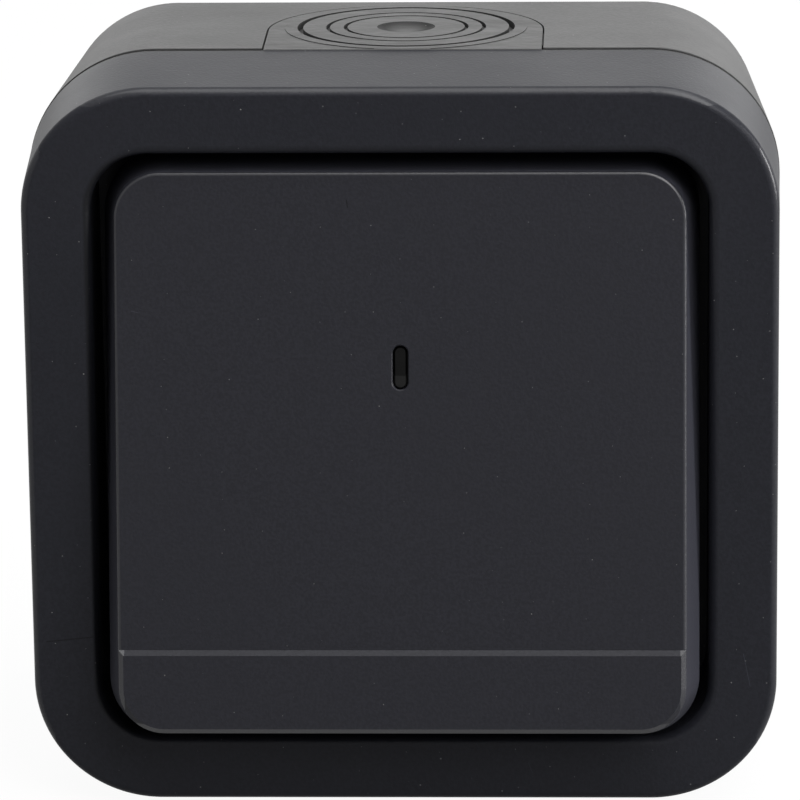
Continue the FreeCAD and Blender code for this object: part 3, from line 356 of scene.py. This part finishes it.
    def _hairline(self) -> Tree:
        """A fine straight mark on the front, between two points given by X and Z in millimetres.

        Returns:
            The group, which puts out a mask.
        """
        ends = {"First_x": 0.0, "First_z": 0.0, "Last_x": 1.0, "Last_z": 0.0, "Width": 0.08}
        graph, given, made = self._start(Effect.HAIRLINE, ends)
        x, y, z = (graph.math("DIVIDE", part, MM) for part in graph.split(graph.point()))
        first = [given.outputs[name] for name in ("First_x", "First_z")]
        last = [given.outputs[name] for name in ("Last_x", "Last_z")]
        run = [graph.math("SUBTRACT", end, start) for start, end in zip(first, last)]
        gone = [graph.math("SUBTRACT", place, start) for start, place in zip(first, (x, z))]
        share = graph.math("DIVIDE", graph.dot(gone, run), graph.dot(run, run))
        share = graph.math("MINIMUM", graph.math("MAXIMUM", share, 0.0), 1.0)
        nearest = [graph.math("MULTIPLY", share, part) for part in run]
        off = [graph.math("SUBTRACT", place, foot) for place, foot in zip(gone, nearest)]
        half = graph.math("MULTIPLY", given.outputs["Width"], 0.5)
        inside = graph.math("LESS_THAN", graph.dot(off, off), graph.math("MULTIPLY", half, half))
        front = graph.math("LESS_THAN", y, self.FRONT_ONLY_Y)
        graph.feed(made.inputs["Mask"], graph.math("MULTIPLY", inside, front))
        return graph.tree

    def _edge(self) -> Tree:
        """Rounded edges around the front, within the limits that Edges describes.

        Returns:
            The group, which puts out a mask.
        """
        limits = {"Flat": 0.985, "Round": 0.93, "Reach": 0.0, "Low": BELOW_ALL, "Corner": BEYOND_ALL}
        graph, given, made = self._start(Effect.EDGE, limits)
        x, _, z = graph.split(graph.point())
        aside = graph.math("ABSOLUTE", x)
        outer = 0.0
        for measure, test, limit in (
            (graph.math("MAXIMUM", aside, z), "GREATER_THAN", "Reach"),
            (z, "LESS_THAN", "Low"),
            (graph.math("ADD", aside, z), "GREATER_THAN", "Corner"),
        ):
            passed = graph.math(test, graph.math("DIVIDE", measure, MM), given.outputs[limit])
            outer = graph.math("MAXIMUM", outer, passed)
        away = [graph.math("ABSOLUTE", part) for part in graph.split(graph.facing())]
        most = graph.math("MAXIMUM", graph.math("MAXIMUM", away[0], away[1]), away[2])
        turned = graph.slide(most, given.outputs["Flat"], given.outputs["Round"])
        rounded = graph.math("MULTIPLY", turned, graph.ramp(away[1], *self.FORWARD_RANGE))
        graph.feed(made.inputs["Mask"], graph.math("MULTIPLY", rounded, outer))
        return graph.tree

    def _slope(self) -> Tree:
        """Everything that slopes away from level, such as the walls of grooves and dishes.

        Returns:
            The group, which puts out a mask.
        """
        graph, given, made = self._start(Effect.SLOPE, {"Level": 0.9995, "Steep": 0.97})
        upward = graph.math("ABSOLUTE", graph.split(graph.facing())[2])
        graph.feed(made.inputs["Mask"], graph.slide(upward, given.outputs["Level"], given.outputs["Steep"]))
        return graph.tree

    def _flank(self) -> Tree:
        """Side and top faces, which turn away from the front.

        Returns:
            The group, which puts out a mask.
        """
        graph, given, made = self._start(Effect.FLANK, {"Side": 0.35, "Front": 0.5})
        forward = graph.math("ABSOLUTE", graph.split(graph.facing())[1])
        graph.feed(made.inputs["Mask"], graph.slide(forward, given.outputs["Front"], given.outputs["Side"]))
        return graph.tree

    def _inner(self) -> Tree:
        """Edges around an opening that face +X, up to a reach in millimetres.

        Returns:
            The group, which puts out a mask.
        """
        graph, given, made = self._start(Effect.INNER, {"Reach": 32.0})
        x, _, z = graph.split(graph.point())
        out = graph.math("MAXIMUM", graph.math("ABSOLUTE", x), graph.math("ABSOLUTE", z))
        inside = graph.math("LESS_THAN", graph.math("DIVIDE", out, MM), given.outputs["Reach"])
        turned = graph.ramp(graph.split(graph.facing())[0], *self.INNER_RANGE)
        graph.feed(made.inputs["Mask"], graph.math("MULTIPLY", inside, turned))
        return graph.tree

    def place(self, graph: Graph, effect: Effect, **values: object) -> Node:
        """Places a group in a material.

        Args:
            graph: The material's graph.
            effect: The effect to place.
            values: Values for the group's inputs, with the first letter in lower case.

        Returns:
            The group's node.
        """
        node = graph.add("ShaderNodeGroup", node_tree=self.groups[effect])
        for name, value in values.items():
            graph.feed(node.inputs[name.capitalize()], value)
        return node

    def mask(self, graph: Graph, effect: Effect, **values: object) -> Socket:
        """Mask of a group that is placed with these values."""
        return self.place(graph, effect, **values).outputs["Mask"]


def new_material(name: str) -> tuple[Material, Graph, Node]:
    """Starts a material.

    Args:
        name: The material's name.

    Returns:
        The material, its graph and its Principled shader.
    """
    material = bpy.data.materials.new(name)
    material.use_nodes = True
    graph = Graph(material.node_tree)
    shader = next(node for node in material.node_tree.nodes if node.type == "BSDF_PRINCIPLED")
    return material, graph, shader


@dataclass(frozen=True)
class Patch:
    """Part of a surface where the tone is a factor of the plain one, for a mark or for painted light or
    shade, and the roughness may be higher.
    """

    mask: Socket
    light: float
    roughness: float = 0.0


@dataclass(frozen=True)
class Hairline:
    """A fine mark on the front face, from one point to another in millimetres of X and Z.

    The light is the factor that its tone has against the plain one.
    """

    first: tuple[float, float]
    last: tuple[float, float]
    width: float
    light: float

    def patch(self, graph: Graph, library: EffectLibrary) -> Patch:
        """Draws the mark.

        Args:
            graph: The material's graph.
            library: The shared effects.

        Returns:
            The mark's patch.
        """
        first_x, first_z = self.first
        last_x, last_z = self.last
        line = library.mask(
            graph, Effect.HAIRLINE,
            first_x=first_x, first_z=first_z, last_x=last_x, last_z=last_z, width=self.width,
        )
        return Patch(line, self.light)


class Stretch(Enum):
    """Where a painted band shows, as a test of the distance aside against the half width of the cable entry.
    """

    BESIDE_ENTRY = "GREATER_THAN"
    AT_ENTRY = "LESS_THAN"


@dataclass(frozen=True)
class PaintedBand:
    """A band between two levels of Y in millimetres, where light or shade is painted: the tone is a factor of
    the plain one.

    Without a stretch it goes all the way round. Its surface may fall away towards the front, by a height over
    a run just before its rear level, also in millimetres.
    """

    front: float
    rear: float
    light: float
    stretch: Stretch | None = None
    fall: float = 0.0
    fall_run: float = 0.5

    def patch(self, graph: Graph) -> Patch:
        """Draws the band.

        Args:
            graph: The material's graph.

        Returns:
            The band's patch.
        """
        x, y, _ = graph.split(graph.point())
        behind = graph.math("GREATER_THAN", y, self.front * MM)
        band = graph.math("MULTIPLY", behind, graph.math("LESS_THAN", y, self.rear * MM))
        if self.stretch:
            aside = graph.math("ABSOLUTE", x)
            shown = graph.math(self.stretch.value, aside, ENTRY_HALF_WIDTH * MM)
            band = graph.math("MULTIPLY", band, shown)
        return Patch(band, self.light)

    def fallen(self, graph: Graph) -> Socket:
        """Bends the surface where it falls away.

        Args:
            graph: The material's graph.

        Returns:
            The bent normal.
        """
        rear = self.rear * MM
        rise = graph.ramp(graph.split(graph.point())[1], rear - self.fall_run * MM, rear)
        return graph.add("ShaderNodeBump", {"Height": rise, "Distance": self.fall * MM}).outputs[0]


@dataclass(frozen=True)
class Edges:
    """Glossy rounded edges around a front, with their limits in millimetres from the object's middle.

    An edge counts beyond the reach at the sides and the top, below the low level, and in the upper corners
    where the distance aside and Z together pass the corner sum.
    """

    gloss: float
    reach: float
    low: float = BELOW_ALL
    corner: float = BEYOND_ALL
    roughness: float = 0.25


@dataclass(frozen=True)
class Dust:
    """Specks of dust: share of the cells that hold one, cells to the metre, size in cells, and colour."""

    share: float = 0.3
    scale: float = 250.0
    size: float = 0.016
    colour: Colour = grey(0.16)


@dataclass(frozen=True)
class Wave:
    """Slow unevenness of a moulded skin: waves to the metre, and depth in millimetres."""

    scale: float
    depth: float


@dataclass(frozen=True)
class MouldedPlastic:
    """Moulded thermoplastic or soft rubber with a mould grain, cloudy tone and specks of dust.

    Where they are set, the wall shade paints shade on what slopes away from level, the flank light paints
    light on side and top faces, and the inner shade paints shade on the edges that face +X within the inner
    reach.
    """

    # A mask seldom comes near its ends, so the grain and the cloud swing the tone by twice their shares.
    SWING = 2
    # Share of the cloud that reaches the tone, and how far it moves the roughness.
    CLOUD_SHARE = 0.4
    CLOUD_ROUGHNESS = 0.05
    # Roughness that a fully shaded wall would gain.
    WALL_ROUGHNESS = 0.5
    # Height of a speck against that of the grain.
    DUST_HEIGHT = 1.5

    name: str
    colour: Colour
    roughness: float
    specular: float = 0.3
    grain_scale: float = 3200.0
    grain_depth: float = 0.02
    grain_light: float = 0.06
    cloud_light: float = 0.05
    dust: Dust = Dust()
    wave: Wave | None = None
    marks: tuple[Hairline, ...] = ()
    painted_band: PaintedBand | None = None
    edges: Edges | None = None
    wall_painted_shade: float = 0.0
    flank_painted_light: float = 0.0
    inner_painted_shade: float = 0.0
    inner_reach: float = 32.1

    def _patches(self, graph: Graph, library: EffectLibrary) -> list[Patch]:
        """Lists what lies over the plain tone, from the lowest layer up.

        Args:
            graph: The material's graph.
            library: The shared effects.

        Returns:
            The patches.
        """
        patches = []
        # Painted shade on what slopes away from level.
        if self.wall_painted_shade:
            walls = library.mask(graph, Effect.SLOPE)
            patches.append(Patch(walls, 1 - self.wall_painted_shade, self.WALL_ROUGHNESS * self.wall_painted_shade))
        if self.painted_band:
            patches.append(self.painted_band.patch(graph))
        patches.extend(mark.patch(graph, library) for mark in self.marks)
        # Painted light on side and top faces.
        if self.flank_painted_light:
            patches.append(Patch(library.mask(graph, Effect.FLANK), self.flank_painted_light))
        # Painted shade on the edges around the opening that face +X.
        if self.inner_painted_shade:
            inner = library.mask(graph, Effect.INNER, reach=self.inner_reach)
            patches.append(Patch(inner, 1 - self.inner_painted_shade))
        return patches

    def _skin(self, graph: Graph, grain: Socket, dust: Socket) -> Socket:
        """Bends the surface by the grain and the dust, over the slow waves and the fall before the rear of
        the painted band.

        Args:
            graph: The material's graph.
            grain: Height of the grain.
            dust: Mask of the dust.

        Returns:
            The bent normal.
        """
        height = graph.math("ADD", grain, graph.math("MULTIPLY", dust, self.DUST_HEIGHT))
        bump = graph.add("ShaderNodeBump", {"Height": height, "Distance": self.grain_depth * MM})
        if self.wave:
            noise = graph.add("ShaderNodeTexNoise", {"Vector": graph.point(), "Scale": self.wave.scale})
            slow = graph.add("ShaderNodeBump", {"Height": noise.outputs[0], "Distance": self.wave.depth * MM})
            graph.feed(bump.inputs["Normal"], slow.outputs[0])
            if self.painted_band and self.painted_band.fall:
                graph.feed(slow.inputs["Normal"], self.painted_band.fallen(graph))
        return bump.outputs[0]

    def build(self, library: EffectLibrary) -> Material:
        """Builds the material.

        Args:
            library: The shared effects.

        Returns:
            The material.
        """
        material, graph, shader = new_material(self.name)
        grain = library.place(graph, Effect.GRAIN, scale=self.grain_scale)
        cloud = library.mask(graph, Effect.CLOUD)
        dust = library.mask(
            graph, Effect.DUST, scale=self.dust.scale, share=self.dust.share, size=self.dust.size
        )
        swing = self.SWING * self.grain_light
        dark, pale = scaled(self.colour, 1 - swing), scaled(self.colour, 1 + swing)
        tone = graph.blend(grain.outputs["Mask"], dark, pale)
        shaded = scaled(self.colour, 1 - self.SWING * self.cloud_light)
        tone = graph.blend(graph.math("MULTIPLY", cloud, self.CLOUD_SHARE), tone, shaded)
        rough = graph.math("MULTIPLY", cloud, self.CLOUD_ROUGHNESS)
        for patch in self._patches(graph, library):
            tone = graph.blend(patch.mask, tone, scaled(self.colour, patch.light))
            if patch.roughness:
                rough = graph.math("ADD", rough, graph.math("MULTIPLY", patch.mask, patch.roughness))
        rough = graph.math("ADD", rough, self.roughness - self.CLOUD_ROUGHNESS / 2)
        graph.feed(shader.inputs["Base Color"], graph.blend(dust, tone, self.dust.colour))
        graph.feed(shader.inputs["Roughness"], rough)
        graph.feed(shader.inputs["Specular IOR Level"], self.specular)
        if self.edges:
            edge = library.mask(
                graph, Effect.EDGE, reach=self.edges.reach, low=self.edges.low, corner=self.edges.corner
            )
            graph.feed(shader.inputs["Coat Weight"], graph.math("MULTIPLY", edge, self.edges.gloss))
            graph.feed(shader.inputs["Coat Roughness"], self.edges.roughness)
        graph.feed(shader.inputs["Normal"], self._skin(graph, grain.outputs["Height"], dust))
        return material


@dataclass(frozen=True)
class SmokedLens:
    """Dark smoked light guide, with a paler band where its lower end is seen through.

    The division between the two is a share of the lens's height from the bottom, blurred by a distance in
    millimetres to each side.
    """

    name: str
    colour: Colour
    low_colour: Colour
    division: float
    blur: float = 0.05
    roughness: float = 0.3
    roughness_spread: float = 0.1
    specular: float = 0.1
    cloud_scale: float = 400.0
    cloud_light: float = 0.6
    grain_scale: float = 1500.0
    grain_depth: float = 0.006

    def build(self, library: EffectLibrary) -> Material:
        """Builds the material.

        Args:
            library: The shared effects.

        Returns:
            The material.
        """
        material, graph, shader = new_material(self.name)
        low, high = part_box("indicator_lens")
        split = low.z + self.division * (high.z - low.z)
        height = graph.split(graph.point())[2]
        lower = graph.ramp(height, split + self.blur * MM, split - self.blur * MM)
        cloud = library.mask(graph, Effect.CLOUD, scale=self.cloud_scale)
        band = graph.blend(cloud, self.low_colour, scaled(self.low_colour, self.cloud_light))
        graph.feed(shader.inputs["Base Color"], graph.blend(lower, self.colour, band))
        rough = graph.ramp(cloud, 0.0, 1.0, self.roughness, self.roughness + self.roughness_spread)
        graph.feed(shader.inputs["Roughness"], rough)
        graph.feed(shader.inputs["Specular IOR Level"], self.specular)
        grain = library.place(graph, Effect.GRAIN, scale=self.grain_scale).outputs["Height"]
        bump = graph.add("ShaderNodeBump", {"Height": grain, "Distance": self.grain_depth * MM})
        graph.feed(shader.inputs["Normal"], bump.outputs[0])
        return material


@dataclass(frozen=True)
class Metal:
    """Plated steel or stamped brass with drawn lines and dull patches."""

    name: str
    colour: Colour
    roughness: float
    roughness_spread: float = 0.15
    dull_light: float = 0.75
    dull_scale: float = 260.0
    line_depth: float = 0.01

    def build(self, library: EffectLibrary) -> Material:
        """Builds the material.

        Args:
            library: The shared effects.

        Returns:
            The material.
        """
        material, graph, shader = new_material(self.name)
        cloud = library.mask(graph, Effect.CLOUD, scale=self.dull_scale)
        tone = graph.blend(cloud, self.colour, scaled(self.colour, self.dull_light))
        rough = graph.ramp(cloud, 0.0, 1.0, self.roughness, self.roughness + self.roughness_spread)
        graph.feed(shader.inputs["Base Color"], tone)
        graph.feed(shader.inputs["Roughness"], rough)
        graph.feed(shader.inputs["Metallic"], 1.0)
        lines = library.place(graph, Effect.BRUSH).outputs["Height"]
        bump = graph.add("ShaderNodeBump", {"Height": lines, "Distance": self.line_depth * MM})
        graph.feed(shader.inputs["Normal"], bump.outputs[0])
        return material


@dataclass(frozen=True)
class LampGlass:
    """Clear glass of the small lamp, with a faint smoky patch."""

    name: str
    colour: Colour = (0.95, 0.9, 0.85)
    smoke_light: float = 0.8
    smoke_scale: float = 500.0
    roughness: float = 0.05
    smoke_roughness: float = 0.12
    transmission: float = 0.9

    def build(self, library: EffectLibrary) -> Material:
        """Builds the material.

        Args:
            library: The shared effects.

        Returns:
            The material.
        """
        material, graph, shader = new_material(self.name)
        cloud = library.mask(graph, Effect.CLOUD, scale=self.smoke_scale)
        tone = graph.blend(cloud, self.colour, scaled(self.colour, self.smoke_light))
        rough = graph.ramp(cloud, 0.0, 1.0, self.roughness, self.smoke_roughness)
        graph.feed(shader.inputs["Base Color"], tone)
        graph.feed(shader.inputs["Roughness"], rough)
        graph.feed(shader.inputs["Transmission Weight"], self.transmission)
        return material


Finish = MouldedPlastic | SmokedLens | Metal | LampGlass


class Workshop:
    """Builds each material once, and puts it on pieces."""

    def __init__(self) -> None:
        """Builds the shared effects, and reads the record's slot of each node."""
        self.library = EffectLibrary()
        self.materials: dict[Finish, Material] = {}
        self.slots = {row["node"]: row["material_slot"] for row in frame["record"]["subparts"]}

    def material(self, finish: Finish) -> Material:
        """Finds the material of a finish, and builds it at its first use.

        Args:
            finish: The finish.

        Returns:
            Its material.
        """
        if finish not in self.materials:
            self.materials[finish] = finish.build(self.library)
        return self.materials[finish]

    def dress(self, piece: Object, finish: Finish) -> None:
        """Gives one node of the frame its finish, and reports it.

        Args:
            piece: The node's object.
            finish: Its finish.
        """
        piece.data.materials.clear()
        piece.data.materials.append(self.material(finish))
        LOG.info("%s dressed as %s", piece.name, finish.name)


ZINC = Metal("zinc_plate", (0.62, 0.62, 0.6), 0.35)
BRASS = Metal("stamped_brass", (0.78, 0.57, 0.27), 0.3)
SEAL = MouldedPlastic("seal_black", grey(0.008), 0.8, specular=0.05, grain_depth=0.04)


def ivory(name: str) -> MouldedPlastic:
    """Clean ivory plastic of the inner parts."""
    return MouldedPlastic(name, (0.62, 0.6, 0.54), 0.4, specular=0.5, dust=Dust(share=0.0))


@dataclass
class SubAssembly:
    """Pieces that are fitted together, with the finish of each."""

    workshop: Workshop

    def finishes(self) -> dict[str, Finish]:
        """Finish of each node of the sub-assembly."""
        raise NotImplementedError

    def build(self) -> None:
        """Dresses every node."""
        for name, finish in self.finishes().items():
            self.workshop.dress(frame["nodes"][name], finish)


@dataclass
class Housing(SubAssembly):
    """Back box with its cable entries, gasket, wall seals and earth terminal."""

    shadow_depth: float = 0.25
    shadow_light: float = 0.1
    shadow_fall: float = 0.4
    lip_height: float = 0.26
    # Painted light on the lip at the front of the cable entries, as a factor of their tone.
    lip_painted_light: float = 4.0
    gasket_light: float = 22.0
    # Painted shade on the sloping walls of the cable entries, as a share taken off their tone.
    groove_painted_shade: float = 0.9

    def box(self) -> MouldedPlastic:
        """Black thermoplastic of the box, in shadow along its front rim.

        Returns:
            The finish.
        """
        rim = parting_level()
        return MouldedPlastic(
            "box_black", grey(0.026), 0.52, specular=0.4,
            grain_scale=2400.0, grain_depth=0.035, grain_light=0.12,
            dust=Dust(share=0.4, colour=grey(0.2)), wave=Wave(45.0, 0.5),
            painted_band=PaintedBand(
                rim - SEAM_MARGIN, rim + self.shadow_depth, self.shadow_light, fall=self.shadow_fall
            ),
        )

    def entry(self) -> MouldedPlastic:
        """Soft black plug of a cable entry, with painted shade on what slopes away from level, such as its
        groove walls and dish, and painted light along its lip at the front.

        Returns:
            The finish.
        """
        rim = parting_level()
        return MouldedPlastic(
            "entry_rubber", grey(0.026), 0.5, specular=0.42, grain_scale=1900.0, cloud_light=0.2,
            dust=Dust(share=0.5, colour=(0.22, 0.21, 0.2)), wave=Wave(220.0, 0.25),
            wall_painted_shade=self.groove_painted_shade,
            painted_band=PaintedBand(rim - SEAM_MARGIN, rim - self.lip_height, self.lip_painted_light),
        )

    def gasket(self) -> MouldedPlastic:
        """Soft black cord, paler where the open cable entry lets light in.

        Returns:
            The finish.
        """
        front = parting_level() - SEAM_MARGIN
        return MouldedPlastic(
            "gasket_black", grey(0.008), 0.8, specular=0.05, grain_depth=0.04,
            painted_band=PaintedBand(front, 0.0, self.gasket_light, Stretch.AT_ENTRY),
        )

    def finishes(self) -> dict[str, Finish]:
        """Finish of each node of the housing.

        Returns:
            The finishes by node name.
        """
        entry = self.entry()
        return {
            "rear_box": self.box(), "entry_membrane_top": entry, "entry_membrane_bottom": entry,
            "box_gasket": self.gasket(), "wall_hole_seals": SEAL, "earth_terminal": BRASS,
        }


@dataclass
class Mechanism(SubAssembly):
    """Switch insert with its contacts, terminals and indicator lamp on the steel plate."""

    body_colour: Colour = grey(0.06)
    steel: tuple[str, ...] = ("support_frame", "lid_rivets", "terminal_screws", "frame_screws")
    brass: tuple[str, ...] = (
        "contact_rocker", "centre_contact", "fixed_contact_upper", "fixed_contact_lower", "terminal_clamps",
    )

    def finishes(self) -> dict[str, Finish]:
        """Finish of each node of the mechanism.

        Returns:
            The finishes by node name.
        """
        body = MouldedPlastic("mechanism_grey", self.body_colour, 0.5, specular=0.4)
        return {
            **dict.fromkeys(self.steel, ZINC), **dict.fromkeys(self.brass, BRASS),
            "mechanism_base": body, "mechanism_lid": body, "lamp_holder": ivory("socket_ivory"),
            "indicator_lamp": LampGlass("lamp_clear"),
        }


@dataclass
class Cover(SubAssembly):
    """Front frame with its screws and the soft seal behind its well."""

    MARKS = (
        Hairline((-36.6, -20.6), (-31.8, -20.1), 0.12, 0.4),
        Hairline((34.6, -21.9), (35.3, -25.4), 0.05, 2.4),
        Hairline((12.6, -33.8), (13.0, -34.9), 0.05, 1.9),
    )

    colour: Colour = (0.0120, 0.0125, 0.0162)
    parting_gap: float = 0.4
    shadow_depth: float = 0.3
    shadow_light: float = 0.15
    edge_gloss: float = 0.32
    edge_reach: float = 36.0
    # Painted shade on the inner edges of the opening that face +X, as a share taken off the tone.
    inner_painted_shade: float = 0.7

    def face(self) -> MouldedPlastic:
        """Anthracite plastic of the frame, in painted shadow along its rear rim beside the cable entries, and
        with painted shade on the inner edges of its opening that face +X.

        Returns:
            The finish.
        """
        rim = parting_level() - self.parting_gap
        # The band ends within the gap, just behind the rim.
        rear = rim + self.parting_gap / 4
        return MouldedPlastic(
            "cover_anthracite", self.colour, 0.38, specular=0.12, marks=self.MARKS,
            painted_band=PaintedBand(rim - self.shadow_depth, rear, self.shadow_light, Stretch.BESIDE_ENTRY),
            edges=Edges(self.edge_gloss, self.edge_reach), inner_painted_shade=self.inner_painted_shade,
            dust=Dust(share=0.6, scale=360.0, size=0.02),
        )

    def finishes(self) -> dict[str, Finish]:
        """Finish of each node of the cover."""
        return {"front_cover": self.face(), "cover_screws": ZINC, "rocker_seal": SEAL}


@dataclass
class RockerAssembly(SubAssembly):
    """Rocker with its light guide, and the carrier with the toggle spring behind it."""

    MARKS = (
        Hairline((-5.3, 26.2), (-5.2, 25.5), 0.1, 0.2),
        Hairline((-27.0, 15.2), (-26.2, 15.0), 0.06, 2.0),
    )

    colour: Colour = (0.0134, 0.0136, 0.0172)
    edges: Edges = Edges(gloss=0.52, reach=28.1, low=-26.3, corner=52.0)
    # Painted light on the flanks of the rocker, as a factor of its tone.
    flank_painted_light: float = 2.0
    lens_division: float = 0.42

    def face(self) -> MouldedPlastic:
        """Anthracite plastic of the rocker, with painted light on its flanks.

        Returns:
            The finish.
        """
        return MouldedPlastic(
            "rocker_anthracite", self.colour, 0.38, specular=0.12, marks=self.MARKS,
            edges=self.edges, flank_painted_light=self.flank_painted_light,
            dust=Dust(share=0.4, scale=330.0, size=0.015, colour=grey(0.12)),
        )

    def finishes(self) -> dict[str, Finish]:
        """Finish of each node that turns with the rocker.

        Returns:
            The finishes by node name.
        """
        carrier = ivory("carrier_ivory")
        return {
            "rocker": self.face(),
            "indicator_lens": SmokedLens("smoked_guide", grey(0.001), grey(0.008), self.lens_division),
            "rocker_carrier": carrier, "plunger": carrier,
            "plunger_spring": Metal("spring_wire", grey(0.55), 0.25),
        }


@dataclass(frozen=True)
class Lamp:
    """A soft rectangular lamp: its place, the point that it faces, its size in metres and power in watts."""

    name: str
    place: Place
    aim: Place
    size: tuple[float, float]
    power: float

    def build(self) -> None:
        """Adds the lamp to the scene."""
        data = bpy.data.lights.new(self.name, "AREA")
        data.shape = "RECTANGLE"
        data.size, data.size_y = self.size
        data.energy = self.power
        lamp = bpy.data.objects.new(self.name, data)
        lamp.location = self.place
        lamp.rotation_mode = "QUATERNION"
        lamp.rotation_quaternion = (Vector(self.aim) - Vector(self.place)).to_track_quat("-Z", "Y")
        bpy.context.scene.collection.objects.link(lamp)


@dataclass
class Studio:
    """Pale floor, white surround, soft lamps and the camera.

    The target is the point in the middle of the picture, on the level of the ring's face. The surround's
    glow goes from front_glow through side_glow to back_glow, as the Y of the direction goes from front_end
    through side_end to back_end.
    """

    FACE_Y = -41.7 * MM
    MIDDLE = (0.0, -0.02, 0.0)
    LAMPS = (
        Lamp("overhead", (0.05, -0.12, 0.75), MIDDLE, (0.8, 0.5), 4.5),
        Lamp("front_top", (0.3, -0.48, 0.5), MIDDLE, (0.5, 0.6), 6.2),
        Lamp("right_side", (0.6, -0.09, 0.12), (0.0, FACE_Y, 0.0), (0.15, 0.3), 3.4),
        Lamp("behind", (0.15, 1.3, 0.16), MIDDLE, (1.8, 0.3), 2.0),
    )

    target: Place = (-0.151 * MM, FACE_Y, 5.343 * MM)
    distance: float = 661.75 * MM
    azimuth: float = 2.04
    elevation: float = 17.82
    roll: float = -0.673
    lens: float = 295.06
    sensor: float = 36.0
    clip: tuple[float, float] = (0.05, 10.0)
    floor_drop: float = 0.3 * MM
    floor_reach: float = 1.5
    floor_tone: float = 0.22
    floor_roughness: float = 0.9
    floor_glow: float = 1.14
    floor_white: float = 0.83
    floor_white_in_gloss: float = 0.55
    front_glow: float = 0.05
    side_glow: float = 0.62
    back_glow: float = 1.35
    front_end: float = -0.9
    side_end: float = 0.1
    back_end: float = 0.8
    right_share: float = 0.2

    def camera(self) -> None:
        """Places the camera where the photograph was taken."""
        height, side, roll = (math.radians(angle) for angle in (self.elevation, self.azimuth, self.roll))
        reach = math.cos(height)
        back = Vector((math.sin(side) * reach, -math.cos(side) * reach, math.sin(height)))
        level = Vector((math.cos(side), math.sin(side), 0.0))
        rise = back.cross(level)
        right = math.cos(roll) * level + math.sin(roll) * rise
        up = -math.sin(roll) * level + math.cos(roll) * rise
        data = bpy.data.cameras.new("camera")
        data.lens = self.lens
        data.sensor_width = self.sensor
        data.clip_start, data.clip_end = self.clip
        camera = bpy.data.objects.new("camera", data)
        place = Vector(self.target) + back * self.distance
        turn = Matrix((right, up, back)).transposed().to_4x4()
        camera.matrix_world = Matrix.Translation(place) @ turn
        bpy.context.scene.collection.objects.link(camera)
        bpy.context.scene.camera = camera

    def world(self) -> None:
        """Surround that is white to the camera, and dimmer in front of the object than behind it."""
        world = bpy.data.worlds.new("surround")
        bpy.context.scene.world = world
        world.use_nodes = True
        graph = Graph(world.node_tree)
        world.node_tree.nodes.clear()
        x, y, _ = graph.split(graph.add("ShaderNodeTexCoord").outputs["Generated"])
        glow = graph.ramp(y, self.front_end, self.side_end, self.front_glow, self.side_glow)
        rear_glow = graph.ramp(y, self.side_end, self.back_end, 0.0, self.back_glow - self.side_glow)
        glow = graph.math("ADD", glow, rear_glow)
        lean = graph.ramp(x, -1.0, 1.0, 1.0 - self.right_share, 1.0 + self.right_share)
        strength = graph.math("MULTIPLY", glow, lean)
        lit = graph.add("ShaderNodeBackground", {"Color": grey(1.0), "Strength": strength})
        shown = graph.add("ShaderNodeBackground", {"Color": grey(1.0), "Strength": 1.0})
        path = graph.add("ShaderNodeLightPath")
        sharp = graph.math("MAXIMUM", path.outputs["Is Glossy Ray"], path.outputs["Is Transmission Ray"])
        seen = graph.math("MAXIMUM", path.outputs["Is Camera Ray"], sharp)
        mixed = graph.add("ShaderNodeMixShader", {0: seen, 1: lit.outputs[0], 2: shown.outputs[0]})
        graph.add("ShaderNodeOutputWorld", {0: mixed.outputs[0]})

    def floor(self) -> None:
        """Pale floor that stays white to the camera and keeps a soft shadow."""
        z = CAD_BOX[0].z - self.floor_drop
        reach = self.floor_reach
        corners = [(-reach, -reach, z), (reach, -reach, z), (reach, reach, z), (-reach, reach, z)]
        mesh = bpy.data.meshes.new("floor")
        mesh.from_pydata(corners, [], [(0, 1, 2, 3)])
        floor = bpy.data.objects.new("floor", mesh)
        bpy.context.scene.collection.objects.link(floor)
        material, graph, shader = new_material("pale_floor")
        graph.feed(shader.inputs["Base Color"], grey(self.floor_tone))
        graph.feed(shader.inputs["Roughness"], self.floor_roughness)
        graph.feed(shader.inputs["Specular IOR Level"], 0.0)
        glow = graph.add("ShaderNodeEmission", {"Color": grey(1.0), "Strength": self.floor_glow})
        path = graph.add("ShaderNodeLightPath")
        clear = graph.math("MAXIMUM", path.outputs["Is Camera Ray"], path.outputs["Is Transmission Ray"])
        clear = graph.math("MULTIPLY", clear, self.floor_white)
        glossy = graph.math("MULTIPLY", path.outputs["Is Glossy Ray"], self.floor_white_in_gloss)
        share = graph.math("MAXIMUM", clear, glossy)
        mixed = graph.add("ShaderNodeMixShader", {0: share, 1: shader.outputs[0], 2: glow.outputs[0]})
        output = next(node for node in graph.tree.nodes if node.type == "OUTPUT_MATERIAL")
        graph.feed(output.inputs["Surface"], mixed.outputs[0])
        mesh.materials.append(material)

    def build(self) -> None:
        """Builds the whole studio."""
        self.camera()
        self.world()
        self.floor()
        for lamp in self.LAMPS:
            lamp.build()
        bpy.context.scene.view_settings.view_transform = "Standard"


def main() -> None:
    """Builds the studio, then dresses every sub-assembly from the wall outwards."""
    Studio().build()
    workshop = Workshop()
    for assembly in (Housing(workshop), Mechanism(workshop), Cover(workshop), RockerAssembly(workshop)):
        assembly.build()


if __name__ == "__main__":
    main()
